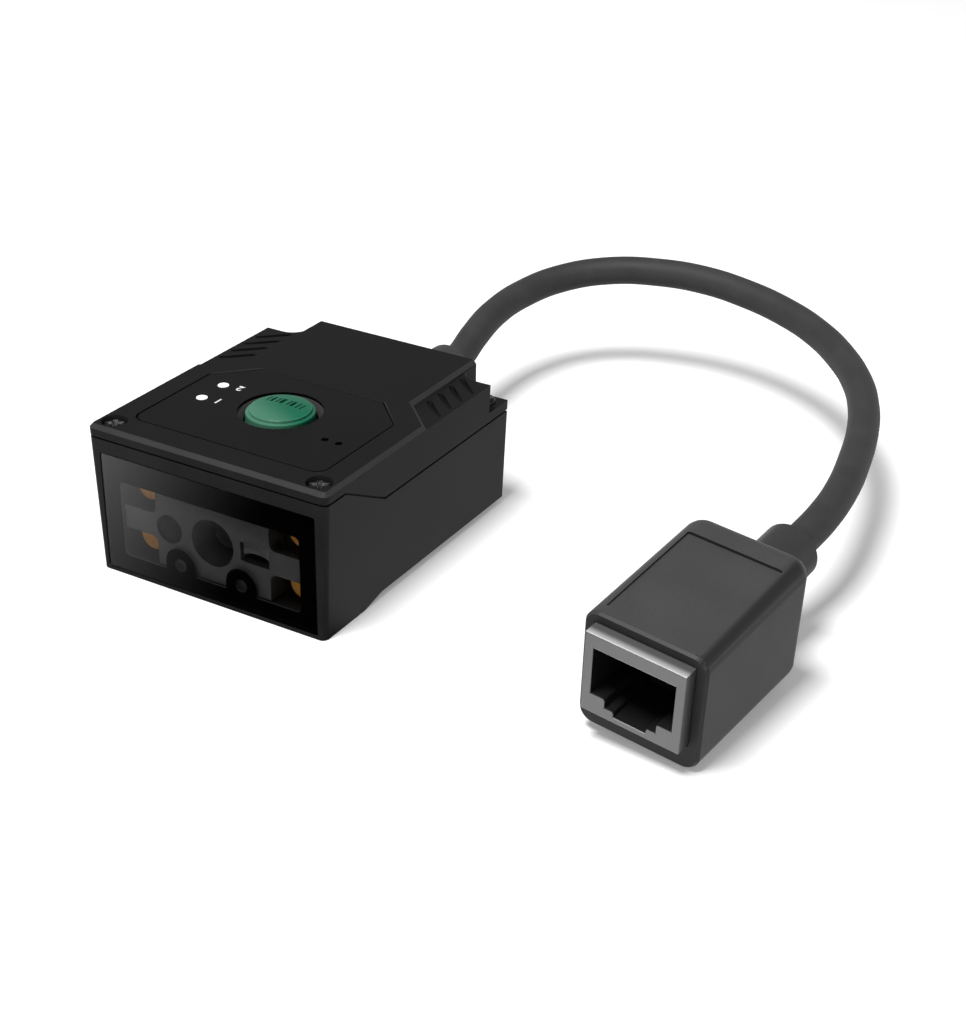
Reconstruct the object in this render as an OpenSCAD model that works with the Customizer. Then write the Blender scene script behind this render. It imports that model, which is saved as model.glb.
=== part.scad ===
// Compact fixed bar-code reader with a scan button, a corded network socket and a two-shell housing.
// The frame stands on the feet: +X runs along the window, +Y from the window to the rear, +Z up.

/* [Housing] */
// Width across the deck
body_w = 41.8; // [40:0.1:48]
// Depth from the window face to the rear face
body_d = 49.5; // [48:0.5:58]
// Height of the deck above the feet
deck_h = 23.5; // [22.5:0.25:27]
// Lean of the side walls in degrees
draft = 2; // [0:0.25:3]
// Radius of the two front upright corners
corner_r = 1; // [0.75:0.25:2]
// Chamfer round the deck
edge_chamfer = 0.6; // [0.3:0.1:0.9]
// Thickness of the side walls at the foot
side_wall = 1.7; // [1.4:0.1:2]
// Thickness of the rear wall
rear_wall = 2; // [1.6:0.1:2.6]
// Thickness of the front wall round the window
front_wall = 2.8; // [2.4:0.1:3.4]
// Thickness of the deck
deck_t = 2.05; // [1.6:0.05:2.2]
// Height of the floor's upper face
floor_h = 2; // [1.8:0.1:2.5]

/* [Underside] */
// Depth of the front foot
foot_d = 10; // [6:0.5:14]
// Depth of the slope behind the front foot
foot_slope = 4.5; // [2:0.5:6]
// Rise of the underside behind the front foot
foot_rise = 1; // [0.4:0.1:1.2]
// Distance between the two mounting inserts
mount_pitch = 25; // [20:0.5:27]
// Distance from the rear face to the mounting inserts
mount_from_rear = 16.5; // [14:0.5:20]
// Radius of the mounting pads
pad_r = 4; // [3.5:0.25:4.5]
// Height of the bosses that hold the inserts
insert_boss_h = 6.5; // [5.5:0.25:8]
// Tapped radius of the inserts
insert_bore_r = 1.25; // [1:0.05:1.5]
// Outer radius of the inserts
insert_r = 2.1; // [1.8:0.05:2.4]
// Length of the inserts
insert_len = 4; // [3:0.25:5]

/* [Split line] */
// Drop of the split below the deck along the sides and the rear
split_drop = 7.25; // [6:0.25:7.5]
// Level stretch of the split behind the front face
split_run = 4.8; // [3:0.2:7]
// Length of the slanting stretch
split_slant = 10; // [7:0.5:13]
// Height of the shadow gap above the split
reveal_h = 0.3; // [0.2:0.05:0.5]
// Depth of the shadow gap
reveal_deep = 0.4; // [0.2:0.05:0.6]

/* [Shoulders] */
// Distance from the front face to the start of the step
shoulder_from = 25.3; // [22:0.1:28]
// Drop of the shoulders below the deck
shoulder_drop = 0.6; // [0.4:0.1:1]
// Count of scoops on each shoulder
scoop_count = 4; // [2:1:4]
// Distance between scoops
scoop_pitch = 3.17; // [2.6:0.05:3.2]
// Width of a scoop
scoop_w = 0.9; // [0.6:0.1:1.2]
// Length of a scoop
scoop_len = 5.4; // [3:0.1:5.6]
// Depth of a scoop at its inner end
scoop_deep = 0.7; // [0.3:0.1:0.9]
// Depth of a scoop at its outer end
scoop_shallow = 0.2; // [0.1:0.05:0.3]

/* [Cover screws] */
// Distance from a side face to the screws
screw_side = 2.95; // [2.6:0.05:3.2]
// Distance from the front and rear faces to the screws
screw_end = 2.7; // [2.6:0.1:3.2]
// Radius of the screw heads
screw_head_r = 1.8; // [1.5:0.1:1.9]
// Height of the screw heads
screw_head_h = 0.9; // [0.7:0.1:1]
// Radius of the threaded shanks
screw_r = 0.9; // [0.7:0.05:1]
// Length of the shanks
screw_len = 4.5; // [3.5:0.25:5]
// Depth of the front counterbores below the deck
counterbore = 1.2; // [1:0.05:1.3]
// Radius of the rear corner pockets
pocket_r = 3; // [2.6:0.1:3.4]
// Thickness of the ledges under the rear screw heads
ledge_t = 1.9; // [1.2:0.05:2.1]

/* [Overlay] */
// Distance from the deck's side edge to the panel recess
overlay_side = 4.1; // [3.8:0.1:5.2]
// Distance from the front face to the recess
overlay_from = 4.7; // [4.6:0.1:6]
// Depth of the recess from front to rear
overlay_d = 24.3; // [24:0.1:25]
// Length cut off the rear corners
overlay_cut = 5.65; // [4:0.05:7]
// Radius of the front corners
overlay_r = 2; // [1:0.25:3]
// Depth of the recess
overlay_deep = 0.5; // [0.4:0.05:0.6]
// Thickness of the overlay sheet
overlay_t = 0.45; // [0.3:0.05:0.5]
// Gap round the overlay sheet
overlay_gap = 0.25; // [0.1:0.05:0.35]

/* [Scan button] */
// Diameter of the button
button_d = 10.4; // [9:0.2:11]
// Distance from the front face to the button's axis
button_from = 18.5; // [17.5:0.1:19.5]
// Rise of the button above the deck
button_rise = 0.8; // [0.5:0.1:1.2]
// Radius of the domed top
dome_r = 26; // [20:1:40]
// Width of the stepped rim
button_rim = 0.8; // [0.5:0.1:1.2]
// Radial gap round the button
button_gap = 0.3; // [0.25:0.05:0.5]
// Width of the bevel round the button's hole
button_bevel = 0.85; // [0.5:0.05:1]
// Width of the flange that keeps the button in
button_flange = 1; // [0.8:0.1:1.3]
// Thickness of that flange
flange_t = 0.8; // [0.6:0.1:1]
// Gap between the flange and the deck
flange_gap = 0.25; // [0.2:0.05:0.4]
// Radius of the button's stem
stem_r = 1.6; // [1.2:0.1:2]

/* [Lights and buzzer] */
// Distance of the status lights from the deck's side edge
light_edge = 8.45; // [7.75:0.05:9.25]
// Distance between the status lights
light_pitch = 5.2; // [4:0.1:6]
// Diameter of the status lights
light_d = 1.7; // [1.4:0.1:2]
// Distance of the buzzer from the deck's side edge
buzzer_edge = 8.7; // [8.45:0.05:9.75]
// Distance from the front face to the buzzer's axis
buzzer_from = 14; // [13.8:0.1:15]
// Radius of the buzzer
buzzer_r = 4.2; // [3.5:0.1:4.2]
// Height of the buzzer
buzzer_h = 3; // [2:0.1:3.5]
// Distance between the two sound holes
sound_pitch = 2.4; // [1.8:0.1:3]
// Diameter of the sound holes
sound_d = 1.1; // [0.8:0.1:1.4]

/* [Window] */
// Distance from the deck's side edge to the window
window_side = 2.15; // [1.9:0.05:2.4]
// Height of the window's lower edge
window_low = 0.65; // [0.5:0.05:0.8]
// Distance from the deck to the window's upper edge
window_drop = 4.2; // [3.5:0.1:5.5]
// Thickness of the window
window_t = 1; // [0.8:0.1:1.2]
// Depth of the window's face behind the front face
window_recess = 0.1; // [0:0.05:0.3]
// Gap round the window
window_gap = 0.12; // [0.08:0.02:0.2]
// Thickness of the mask behind the window
mask_t = 0.3; // [0.2:0.05:0.4]
// Width of the mask at the sides
mask_side = 2.85; // [2.4:0.05:3.2]
// Height of the mask below the clear field
mask_low = 1.95; // [1.9:0.05:2.75]
// Height of the mask above the clear field
mask_high = 4.55; // [3.8:0.05:4.8]
// Distance of the mask's arches from the middle
arch_side = 5.47; // [4.5:0.01:6.5]
// Rise of the arches' centres above the clear field's lower edge
arch_rise = 1.23; // [0.95:0.01:1.55]
// Radius of the arches
arch_r = 2.7; // [2:0.1:3]
// Radius of the holes in the arches
arch_hole_r = 1.03; // [0.6:0.01:1.4]

/* [Imaging engine] */
// Offset of the engine and the clear field from the middle of the reader
engine_side = -0.6; // [-0.8:0.1:0.8]
// Gap between the mask and the engine's front plate
plate_gap = 0.5; // [0.3:0.1:0.8]
// Thickness of the engine's front block
plate_t = 3.4; // [3.2:0.1:3.8]
// Gap between the front block and the lamps
lamp_gap = 1.3; // [0.8:0.1:1.6]
// Half width of the rear block
rear_half = 7; // [6.6:0.1:7.4]
// Depth of the rear block
rear_block_d = 8.7; // [8.2:0.1:9]
// Rise of the optical axis above the middle of the clear field
axis_rise = 0.125; // [0:0.025:0.25]
// Radius of the lens opening at the front
lens_mouth_r = 3.75; // [3:0.05:4.2]
// Radius of the lens opening at its throat
lens_throat_r = 2.4; // [1.8:0.05:2.5]
// Radius of the lens barrel
barrel_r = 3; // [2.6:0.05:3.4]
// Distance of the filter and the aimer from the front block's side
aimer_edge = 2.3; // [2.3:0.05:2.8]
// Radius of the round filter
filter_r = 2.2; // [1.8:0.05:2.4]
// Width of the aimer opening
aimer_w = 4.4; // [3.6:0.1:4.4]
// Height of the aimer opening
aimer_h = 2.6; // [2.4:0.1:3.6]
// Height of the side arms
arm_h = 3.8; // [3:0.1:4.2]
// Radius of the fillets beside the arms
arm_fillet = 1.1; // [0.6:0.1:1.4]
// Thickness of the illumination board
lamp_board_t = 1; // [0.8:0.1:1.2]
// Distance of the lamps from the clear field's side
lamp_side = 2.25; // [2.1:0.05:2.6]
// Distance of the lamps from the clear field's upper and lower edges
lamp_inset = 1.875; // [1.825:0.025:2.025]
// Radius of the lamps
lamp_r = 2.2; // [1.6:0.05:2.3]
// Thickness of the lamps
lamp_t = 0.7; // [0.4:0.1:0.8]

/* [Main board] */
// Drop of the board's upper face below the split
board_drop = 0.25; // [0.2:0.05:0.8]
// Thickness of the board
board_t = 1; // [0.8:0.1:1.2]
// Distance from the front face to the board
board_from = 9.5; // [9:0.1:9.6]
// Distance from the rear face to the board
board_to_rear = 7.5; // [7.3:0.1:9]
// Gap between the board and the side walls
board_gap = 1.4; // [0.8:0.1:1.6]
// Width of the tactile switch
switch_w = 4.5; // [4:0.1:6]
// Height of the switch's case
switch_h = 1.6; // [1.5:0.1:1.8]
// Radius of the switch's plunger
plunger_r = 0.95; // [0.8:0.05:1.2]

/* [Cable and gland] */
// Drop of the cable's axis below the split
cable_drop = 3.75; // [3.65:0.05:4.5]
// Diameter of the cable
cable_d = 5; // [4:0.1:5.4]
// Length of the gland behind the rear face
gland_len = 16.75; // [14:0.25:20]
// Radius of the gland at the rear face
gland_r = 4.9; // [4.4:0.1:5]
// Radius of the gland at its end
gland_end_r = 4.2; // [3.8:0.1:4.4]
// Radius of the neck in the rear wall
neck_r = 3.6; // [3:0.1:3.7]
// Count of slots along the gland
gland_slots = 4; // [2:1:5]

/* [Socket] */
// Width of the socket's boot at its front
boot_w = 18; // [17:0.25:20]
// Height of the boot at its front
boot_h = 18.2; // [17:0.1:20]
// Depth of the boot
boot_d = 27.4; // [24:0.2:30]
// Offset of the boot from the collar's axis
boot_side = -0.5; // [-1:0.1:1]
// Growth of the boot to each side from front to rear
boot_flare = 0.2; // [0:0.1:0.6]
// Rise of the boot's top from front to rear
boot_lift = 0.2; // [0:0.1:0.6]
// Drop of the boot's underside from front to rear
boot_sink = 1.5; // [0:0.1:2]
// Length of the boot's collar
collar_len = 11.2; // [9:0.2:14]
// Radius of the collar
collar_r = 4.25; // [3.8:0.05:4.6]
// Width of the jack's face
jack_w = 14.8; // [14.4:0.1:15.4]
// Height of the jack's face
jack_h = 12.6; // [12.2:0.05:12.8]
// Length of the jack that stands out of the boot
jack_proud = 2.2; // [1:0.1:3]
// Depth of the jack
jack_d = 19.2; // [18:0.2:21]
// Width of the plug opening
port_w = 12; // [11.8:0.05:12.2]
// Height of the plug opening
port_h = 7.3; // [7:0.05:7.9]
// Depth of the plug opening
port_d = 13.2; // [12:0.2:14.5]

/* [Hidden] */

$fn = 64;
// Room that a cutter needs to pass a face
over = 1;
// Play between pieces that drop into each other
play = 0.1;

half_w = body_w / 2;
half_foot = half_w - deck_h * tan(draft);
half_in = half_foot - side_wall;
deck_under = deck_h - deck_t;
split_front = deck_under;
split_rear = deck_h - split_drop;
cable_h = split_rear - cable_drop;
shoulder_h = deck_h - shoulder_drop;
screw_x = half_w - screw_side;
screw_rear_y = body_d - screw_end;
ledge_h = split_rear + ledge_t;
column_r = 2.6;
front_boss_r = 2.4;
front_boss_h = 5.4;
post_wall = 1.3;
tab_half = screw_x - pocket_r;
overlay_w = body_w - 2 * overlay_side;
overlay_floor = deck_h - overlay_deep;
light_side = half_w - light_edge;
buzzer_side = half_w - buzzer_edge;
mount_y = body_d - mount_from_rear;

window_w = body_w - 2 * window_side;
window_high = deck_h - window_drop;
window_h = window_high - window_low;
window_mid = (window_high + window_low) / 2;
window_corner = 0.35;
mask_from = window_recess + window_t;
window_seat = mask_from + mask_t;
clear_w = window_w - 2 * mask_side;
clear_low = window_low + mask_low;
clear_high = window_high - mask_high;
clear_mid = (clear_high + clear_low) / 2;
arch_high = clear_low + arch_rise;
mask_r = 0.8;
opening_gap = 0.55;
opening_r = 1;

board_top = split_rear - board_drop;
board_low = board_top - board_t;
board_half = half_in - board_gap;
board_to = body_d - board_to_rear;
board_hole_edge = 1.9;
board_hole_step = 6;
board_hole_end = 2.2;
board_hole_x = board_half - board_hole_edge;
board_hole_front = button_from + board_hole_step;
board_hole_rear = board_to - board_hole_end;
post_r = 2.1;

axis_h = clear_mid + axis_rise;
plate_lip_low = 0.15;
plate_lip_high = 0.25;
plate_from = window_seat + plate_gap;
plate_to = plate_from + plate_t;
plate_low = clear_low - plate_lip_low;
plate_high = clear_high + plate_lip_high;
arm_lip = 0.05;
arm_half = clear_w / 2 + arm_lip;
arm_t = plate_t - lamp_t - 2 * play;
lamp_x = clear_w / 2 - lamp_side;
lamp_rise = clear_high - clear_mid - lamp_inset;
block_half = lamp_x - lamp_r - lamp_gap;
aimer_side = block_half - aimer_edge;
engine_to = plate_to + rear_block_d;
rear_rise = 1.1;
board_clear = 0.7;
rear_low = plate_low + rear_rise;
rear_high = board_low - board_clear;
tab_boss_h = 1.9;
tab_t = 1.2;
tab_r = 2;
tab_thread = 2.5;
tab_reach = 4.5;
tab_x = rear_half + tab_reach;
tab_y = engine_to - tab_r;
filter_pocket = 1.8;
aimer_pocket = 2.4;
lens_wall = 1.2;
barrel_set = 3.6;
barrel_back = 2.6;
barrel_from = plate_from + barrel_set;
barrel_to = engine_to - barrel_back;
pocket_w = 8;
pocket_floor = 1.2;
pocket_roof = 1.1;
sensor_board_t = 0.8;
small_head_h = 0.8;

plunger_deep = 0.7;
plunger_travel = 0.5;
plunger_rise = 1;
plunger_top = board_top + switch_h + plunger_rise;
button_r = button_d / 2;
flange_top = deck_under - flange_gap;
button_top = deck_h + button_rise;
light_gap = 0.9;
light_low = board_top + light_gap;
header_d = 5;
header_w = 10;
header_h = 3.5;
header_gap = 1;
header_to = board_to - header_gap;
gland_lip = 1.5;
gland_inner = body_d - rear_wall - gland_lip;
gland_end = body_d + gland_len;

// Middle line of the cable, drawn from the gland's end, to the socket's collar
cable_start_y = gland_end - body_d / 2;
cable_steps = [
    [0, 0, cable_h], [-0.5, 4.5, 13], [-1, 9.5, 14.5], [-1.5, 17.5, 16], [-0.5, 26, 17], [3, 34, 18],
    [9.5, 39.5, 19], [18, 42.5, 19.5], [26.5, 43.5, 19.5], [35.5, 42.5, 19], [44, 39.5, 18.5],
    [51.5, 35, 18], [58, 29, 17.5], [63.5, 22, 17], [67.5, 14.5, 16.5], [70.5, 6, 16],
    [72.5, -2.5, 15.5], [74, -11.5, 15], [74.4, -20, 14.4], [73.5, -29, 13.3]
];
cable_route = [for (step = cable_steps) step + [0, cable_start_y, 0]];
cable_sides = 12;

// Where the cable enters the socket's collar, and how the socket lies
socket_at = cable_route[len(cable_route) - 1];
socket_turn = [5.5, 4.5, -5.4];
collar_axis_h = 9;
boot_low = -collar_axis_h;
boot_top = boot_low + boot_h;
boot_back = -collar_len;
boot_front = boot_back - boot_d;
jack_front = boot_front - jack_proud;
jack_rise = 4;
port_rise = 3.1;
jack_low = boot_low + jack_rise;
port_low = jack_low + port_rise;
port_high = port_low + port_h;

// Stands a piece that is drawn from the front face into the frame at the middle of the reader.
module from_front() {
    translate([0, -body_d / 2, 0]) children();
}

// Stands a piece of the imaging engine, which is drawn about its optical axis, into the same frame.
module from_engine() {
    translate([engine_side, 0, 0]) from_front() children();
}

// Draws the left and the right copy of a piece.
module both_sides() {
    for (side = [0, 1]) mirror([side, 0, 0]) children();
}

// Sweeps a side profile, drawn as depth and height, across the width.
module across(w = 2 * body_w) {
    translate([-w / 2, 0, 0]) rotate([90, 0, 90]) linear_extrude(w) children();
}

// Extrudes a front profile, drawn as width and height, from one depth to the rear.
module slab(from, t) {
    translate([0, from + t, 0]) rotate([90, 0, 0]) linear_extrude(t) children();
}

// A round bar or cone that runs to the rear.
module bar(from, len, r1, r2) {
    translate([0, from, 0]) rotate([-90, 0, 0]) cylinder(h = len, r1 = r1, r2 = r2);
}

// A flat rectangle with round corners about its middle.
module rounded(w, h, r) {
    square([w - 2 * r, h], center = true);
    square([w, h - 2 * r], center = true);
    for (x = [-1, 1], y = [-1, 1])
        translate([x * (w / 2 - r), y * (h / 2 - r)]) circle(r);
}

// The closed outer form: leaning sides, round front corners and a chamfered deck.
module outer_block(inset = 0) {
    r = corner_r - inset;
    tall = 2 * deck_h;
    difference() {
        translate([-half_w, inset, 0]) cube([body_w, body_d - 2 * inset, deck_h]);
        both_sides() translate([half_w - inset, inset, deck_h]) rotate([0, draft, 0]) {
            translate([0, -over, -tall]) cube([half_w, body_d + 2 * over, 2 * tall]);
            translate([-edge_chamfer, -over, 0]) rotate([0, 45, 0]) translate([-over, 0, 0])
                cube([4 * over, body_d + 2 * over, 3 * over]);
            difference() {
                translate([-r, -over, -tall]) cube([r + over, r + over, 2 * tall]);
                translate([-r, r, -tall - over]) cylinder(r = r, h = tall + over - edge_chamfer);
                translate([-r, r, -edge_chamfer])
                    cylinder(r1 = r, r2 = r - edge_chamfer, h = edge_chamfer);
            }
        }
        translate([-body_w, inset + edge_chamfer, deck_h]) rotate([45, 0, 0])
            translate([0, -3 * over, 0]) cube([2 * body_w, 4 * over, 3 * over]);
    }
}

// The split between base and cover, from the front face to the rear, raised by a step.
function split_line(step = 0) = [
    [-over, split_front + step], [split_run, split_front + step],
    [split_run + split_slant, split_rear + step], [body_d + over, split_rear + step]
];

module base_profile() {
    polygon(concat(split_line(), [
        [body_d + over, foot_rise], [foot_d + foot_slope, foot_rise], [foot_d, 0], [-over, 0]
    ]));
}

module cover_profile() {
    polygon(concat(split_line(), [[body_d + over, deck_h + over], [-over, deck_h + over]]));
}

module below_split() {
    polygon(concat(split_line(), [[body_d + over, -over], [-over, -over]]));
}

// Places a piece at each of the four cover screws' axes.
module at_cover_screws(front = true, rear = true) {
    both_sides() {
        if (front) translate([screw_x, screw_end, 0]) children();
        if (rear) translate([screw_x, screw_rear_y, 0]) children();
    }
}

module at_board_screws() {
    both_sides() for (y = [board_hole_front, board_hole_rear])
        translate([board_hole_x, y, 0]) children();
}

module at_mounts() {
    both_sides() translate([mount_pitch / 2, mount_y, 0]) children();
}

module at_engine_tabs() {
    both_sides() translate([tab_x, tab_y, 0]) children();
}

module base_housing() {
    color("#2b2b2b") from_front() intersection() {
        outer_block();
        across() below_split();
        difference() {
            union() {
                difference() {
                    across() base_profile();
                    translate([-half_in, front_wall, floor_h])
                        cube([2 * half_in, body_d - front_wall - rear_wall, deck_h]);
                }
                at_cover_screws(front = false) translate([0, 0, foot_rise])
                    cylinder(r = column_r, h = split_rear - foot_rise);
                at_cover_screws(rear = false) translate([0, 0, split_front - front_boss_h])
                    cylinder(r = front_boss_r, h = front_boss_h);
                at_board_screws() translate([0, 0, foot_rise])
                    cylinder(r = post_r, h = board_low - foot_rise);
                translate([engine_side, 0, foot_rise]) at_engine_tabs()
                    cylinder(r = post_r, h = floor_h + tab_boss_h - foot_rise);
                at_mounts() cylinder(r = pad_r, h = insert_boss_h);
            }
            window_opening();
            at_cover_screws(front = false) translate([0, 0, split_rear - screw_len])
                cylinder(r = screw_r + play, h = screw_len + over);
            at_cover_screws(rear = false) translate([0, 0, deck_h - counterbore - screw_len - play])
                cylinder(r = screw_r + play, h = screw_len + over);
            at_board_screws() translate([0, 0, board_low - screw_len])
                cylinder(r = screw_r + play, h = screw_len + over);
            translate([engine_side, 0, floor_h + tab_boss_h - tab_thread]) at_engine_tabs()
                cylinder(r = screw_r + play, h = tab_thread + over);
            at_mounts() translate([0, 0, -over]) cylinder(r = insert_r + play / 2, h = insert_len + over);
            gland_cut();
        }
    }
}

// The stepped opening that the window and its mask drop into.
module window_opening() {
    translate([0, 0, window_mid]) slab(-over, window_seat + over)
        rounded(window_w + 2 * window_gap, window_h + 2 * window_gap, window_corner);
    translate([engine_side, 0, clear_mid]) slab(0, front_wall + over)
        rounded(clear_w + 2 * opening_gap, clear_high - clear_low + 2 * opening_gap, opening_r);
}

// The slot in the rear wall that takes the gland's neck from above.
module gland_cut() {
    r = neck_r + play;
    translate([0, 0, cable_h]) bar(body_d - rear_wall - over, rear_wall + 2 * over, r, r);
    translate([-r, body_d - rear_wall - over, cable_h]) cube([2 * r, rear_wall + 2 * over, deck_h]);
}

module top_cover() {
    color("#242424") from_front() difference() {
        intersection() {
            outer_block();
            across() cover_profile();
            union() {
                difference() {
                    translate([-half_w, 0, 0]) cube([body_w, body_d, deck_h]);
                    translate([-half_in, front_wall, -over])
                        cube([2 * half_in, body_d - front_wall - rear_wall, deck_under + over]);
                }
                at_cover_screws(front = false) corner_pocket(pocket_r + post_wall, 0);
            }
        }
        both_sides() shoulder_cut();
        both_sides() scoops();
        at_cover_screws(front = false) corner_pocket(pocket_r, ledge_h);
        overlay_recess();
        deck_holes();
        at_cover_screws() cylinder(r = screw_r + 2 * play, h = 2 * deck_h);
        at_cover_screws(rear = false) translate([0, 0, deck_h - counterbore])
            cylinder(r = screw_head_r + 1.5 * play, h = deck_h);
        shadow_gap();
    }
}

// A round pocket about a rear screw that is open to the side and the rear.
module corner_pocket(r, low) {
    reach = 4 * r;
    translate([0, 0, low]) {
        cylinder(r = r, h = 2 * deck_h);
        translate([-r, 0, 0]) cube([reach, reach, 2 * deck_h]);
        translate([0, -r, 0]) cube([reach, reach, 2 * deck_h]);
    }
}

// The lowered shoulder: two sloping walls, one along the side and one across the corner.
module shoulder_cut() {
    top = deck_h + over;
    slope = [[0, shoulder_h], [body_w, shoulder_h], [body_w, top], [shoulder_h - top, top]];
    intersection() {
        translate([tab_half, body_d + over, 0])
            rotate([90, 0, 0]) linear_extrude(2 * body_d) polygon(slope);
        translate([half_w, shoulder_from, 0]) rotate([0, 0, 45]) translate([0, body_d, 0])
            rotate([90, 0, 0]) linear_extrude(2 * body_d) polygon(slope);
    }
}

// Ramped scoops that lie across a shoulder and end deep at their inner end.
module scoops() {
    edge = 0.8;
    lean = 136;
    pocket_gap = 4.4;
    fall = atan((scoop_deep - scoop_shallow) / scoop_len);
    first = screw_rear_y - pocket_r - pocket_gap;
    for (i = [0 : scoop_count - 1])
        translate([half_w - edge, first - i * scoop_pitch, shoulder_h - scoop_shallow])
            rotate([0, 0, lean]) rotate([0, fall, 0]) {
                translate([0, -scoop_w / 2, 0]) cube([scoop_len, scoop_w, 2 * over]);
                translate([scoop_len, 0, 0]) cylinder(d = scoop_w, h = 2 * over, $fn = 24);
            }
}

// The panel's outline, smaller by an inset on every side.
module overlay_shape(inset = 0) {
    half = overlay_w / 2 - inset;
    front = overlay_from + inset;
    rear = overlay_from + overlay_d - inset;
    cut = overlay_cut - inset * (2 - sqrt(2));
    polygon([
        [-half, front + overlay_r], [half, front + overlay_r], [half, rear - cut],
        [half - cut, rear], [cut - half, rear], [-half, rear - cut]
    ]);
    translate([-half + overlay_r, front]) square([2 * (half - overlay_r), overlay_r + play]);
    for (side = [-1, 1]) translate([side * (half - overlay_r), front + overlay_r]) circle(overlay_r);
}

module overlay_recess() {
    translate([0, 0, overlay_floor]) linear_extrude(2 * overlay_deep) overlay_shape();
}

module at_lights() {
    for (side = [-1, 1]) translate([-light_side, button_from + side * light_pitch / 2, 0]) children();
}

module at_sound_holes() {
    for (side = [-1, 1]) translate([buzzer_side + side * sound_pitch / 2, buzzer_from, 0]) children();
}

// Holes through the deck for the button, the lights and the buzzer.
module deck_holes() {
    hole_r = button_r + button_gap;
    translate([0, button_from, 0]) {
        cylinder(r = hole_r, h = 2 * deck_h);
        translate([0, 0, overlay_floor - button_bevel])
            cylinder(r1 = hole_r, r2 = hole_r + button_bevel, h = button_bevel);
    }
    at_lights() cylinder(d = light_d + 2 * play, h = 2 * deck_h, $fn = 32);
    at_sound_holes() cylinder(d = sound_d, h = 2 * deck_h, $fn = 32);
}

// The fine gap that runs round the housing just above the split.
module shadow_gap() {
    difference() {
        across() polygon(concat(split_line(), [
            for (i = [3 : -1 : 0]) split_line(reveal_h)[i]
        ]));
        outer_block(reveal_deep);
    }
}

module top_overlay() {
    color("#1d1d1d") from_front() translate([0, 0, overlay_floor]) linear_extrude(overlay_t) difference() {
        overlay_shape(overlay_gap);
        translate([0, button_from]) circle(button_r + button_gap + button_bevel);
        at_lights() circle(d = light_d + 2 * play, $fn = 32);
        at_sound_holes() circle(d = sound_d, $fn = 32);
    }
}

// A pan-head screw with a cross recess; its head stands on the plane it is drawn from.
module screw(len, head_r = screw_head_r, head_h = screw_head_h) {
    arm = 1.3 * head_r;
    blade = 0.3 * head_r;
    difference() {
        union() {
            translate([0, 0, -len]) cylinder(r = screw_r, h = len + play, $fn = 32);
            cylinder(r = head_r, h = head_h / 2, $fn = 32);
            translate([0, 0, head_h / 2])
                cylinder(r1 = head_r, r2 = 0.8 * head_r, h = head_h / 2, $fn = 32);
        }
        for (a = [0, 90]) rotate([0, 0, a]) translate([-arm / 2, -blade / 2, 0.4 * head_h])
            cube([arm, blade, head_h]);
    }
}

module cover_screws() {
    color("#141414") from_front() {
        at_cover_screws(rear = false) translate([0, 0, deck_h - counterbore]) screw(screw_len - play);
        at_cover_screws(front = false) translate([0, 0, ledge_h]) screw(screw_len);
    }
}

// The domed green button with its stepped rim, retaining flange and stem.
module scan_button() {
    rim_step = 0.65;
    rim_bevel = 0.3;
    rim_bevel_h = 0.2;
    rim_top = button_top - rim_step;
    flange_low = flange_top - flange_t;
    color("#2a7a5a") from_front() translate([0, button_from, 0]) {
        intersection() {
            translate([0, 0, flange_low]) cylinder(r = button_r - button_rim, h = deck_h);
            translate([0, 0, button_top - dome_r]) sphere(dome_r, $fn = 96);
        }
        translate([0, 0, flange_low]) cylinder(r = button_r, h = rim_top - flange_low);
        translate([0, 0, rim_top]) cylinder(r1 = button_r, r2 = button_r - rim_bevel, h = rim_bevel_h);
        translate([0, 0, flange_low]) cylinder(r = button_r + button_gap + button_flange, h = flange_t);
        translate([0, 0, plunger_top]) cylinder(r = stem_r, h = flange_top - plunger_top);
    }
}

module switch_plunger() {
    low = board_top + switch_h - plunger_deep;
    color("#101010") from_front() translate([0, button_from, low])
        cylinder(r = plunger_r, h = plunger_top - low, $fn = 32);
}

module tact_switch() {
    well = plunger_deep + plunger_travel + play;
    well_r = plunger_r + 2 * play;
    corner_cut = 0.8;
    color("#8f9398") from_front() translate([0, button_from, board_top]) difference() {
        translate([-switch_w / 2, -switch_w / 2, 0]) cube([switch_w, switch_w, switch_h]);
        translate([0, 0, switch_h - well]) cylinder(r = well_r, h = well + over, $fn = 32);
        for (x = [-1, 1], y = [-1, 1]) translate([x * switch_w / 2, y * switch_w / 2, -over])
            rotate([0, 0, 45]) cube([corner_cut, corner_cut, 3 * switch_h], center = true);
    }
}

// Two clear pipes that carry the status lights up to the overlay.
module light_guides() {
    collar_h = 0.8;
    color("#e8e8e4") from_front() at_lights() {
        translate([0, 0, light_low])
            cylinder(d = light_d, h = overlay_floor + overlay_t - light_low, $fn = 32);
        translate([0, 0, deck_under - collar_h]) cylinder(d = 2 * light_d, h = collar_h, $fn = 32);
    }
}

module status_leds() {
    chip = [1.6, 0.8, 0.4];
    lens = [1, 0.8, 0.6];
    color("#e9e4c8") from_front() at_lights() translate([0, 0, board_top]) for (size = [chip, lens])
        translate([-size[0] / 2, -size[1] / 2, 0]) cube(size);
}

module buzzer() {
    bevel = 0.4;
    mouth_r = 0.9;
    mouth_deep = 0.8;
    color("#161616") from_front() translate([buzzer_side, buzzer_from, board_top]) difference() {
        union() {
            cylinder(r = buzzer_r, h = buzzer_h - bevel);
            translate([0, 0, buzzer_h - bevel]) cylinder(r1 = buzzer_r, r2 = buzzer_r - bevel, h = bevel);
        }
        translate([0, 0, buzzer_h - mouth_deep]) cylinder(r = mouth_r, h = buzzer_h, $fn = 32);
    }
}

module front_window() {
    color("#101214", 0.5) from_front() translate([0, 0, window_mid]) slab(window_recess, window_t)
        rounded(window_w, window_h, window_corner - window_gap);
}

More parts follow.
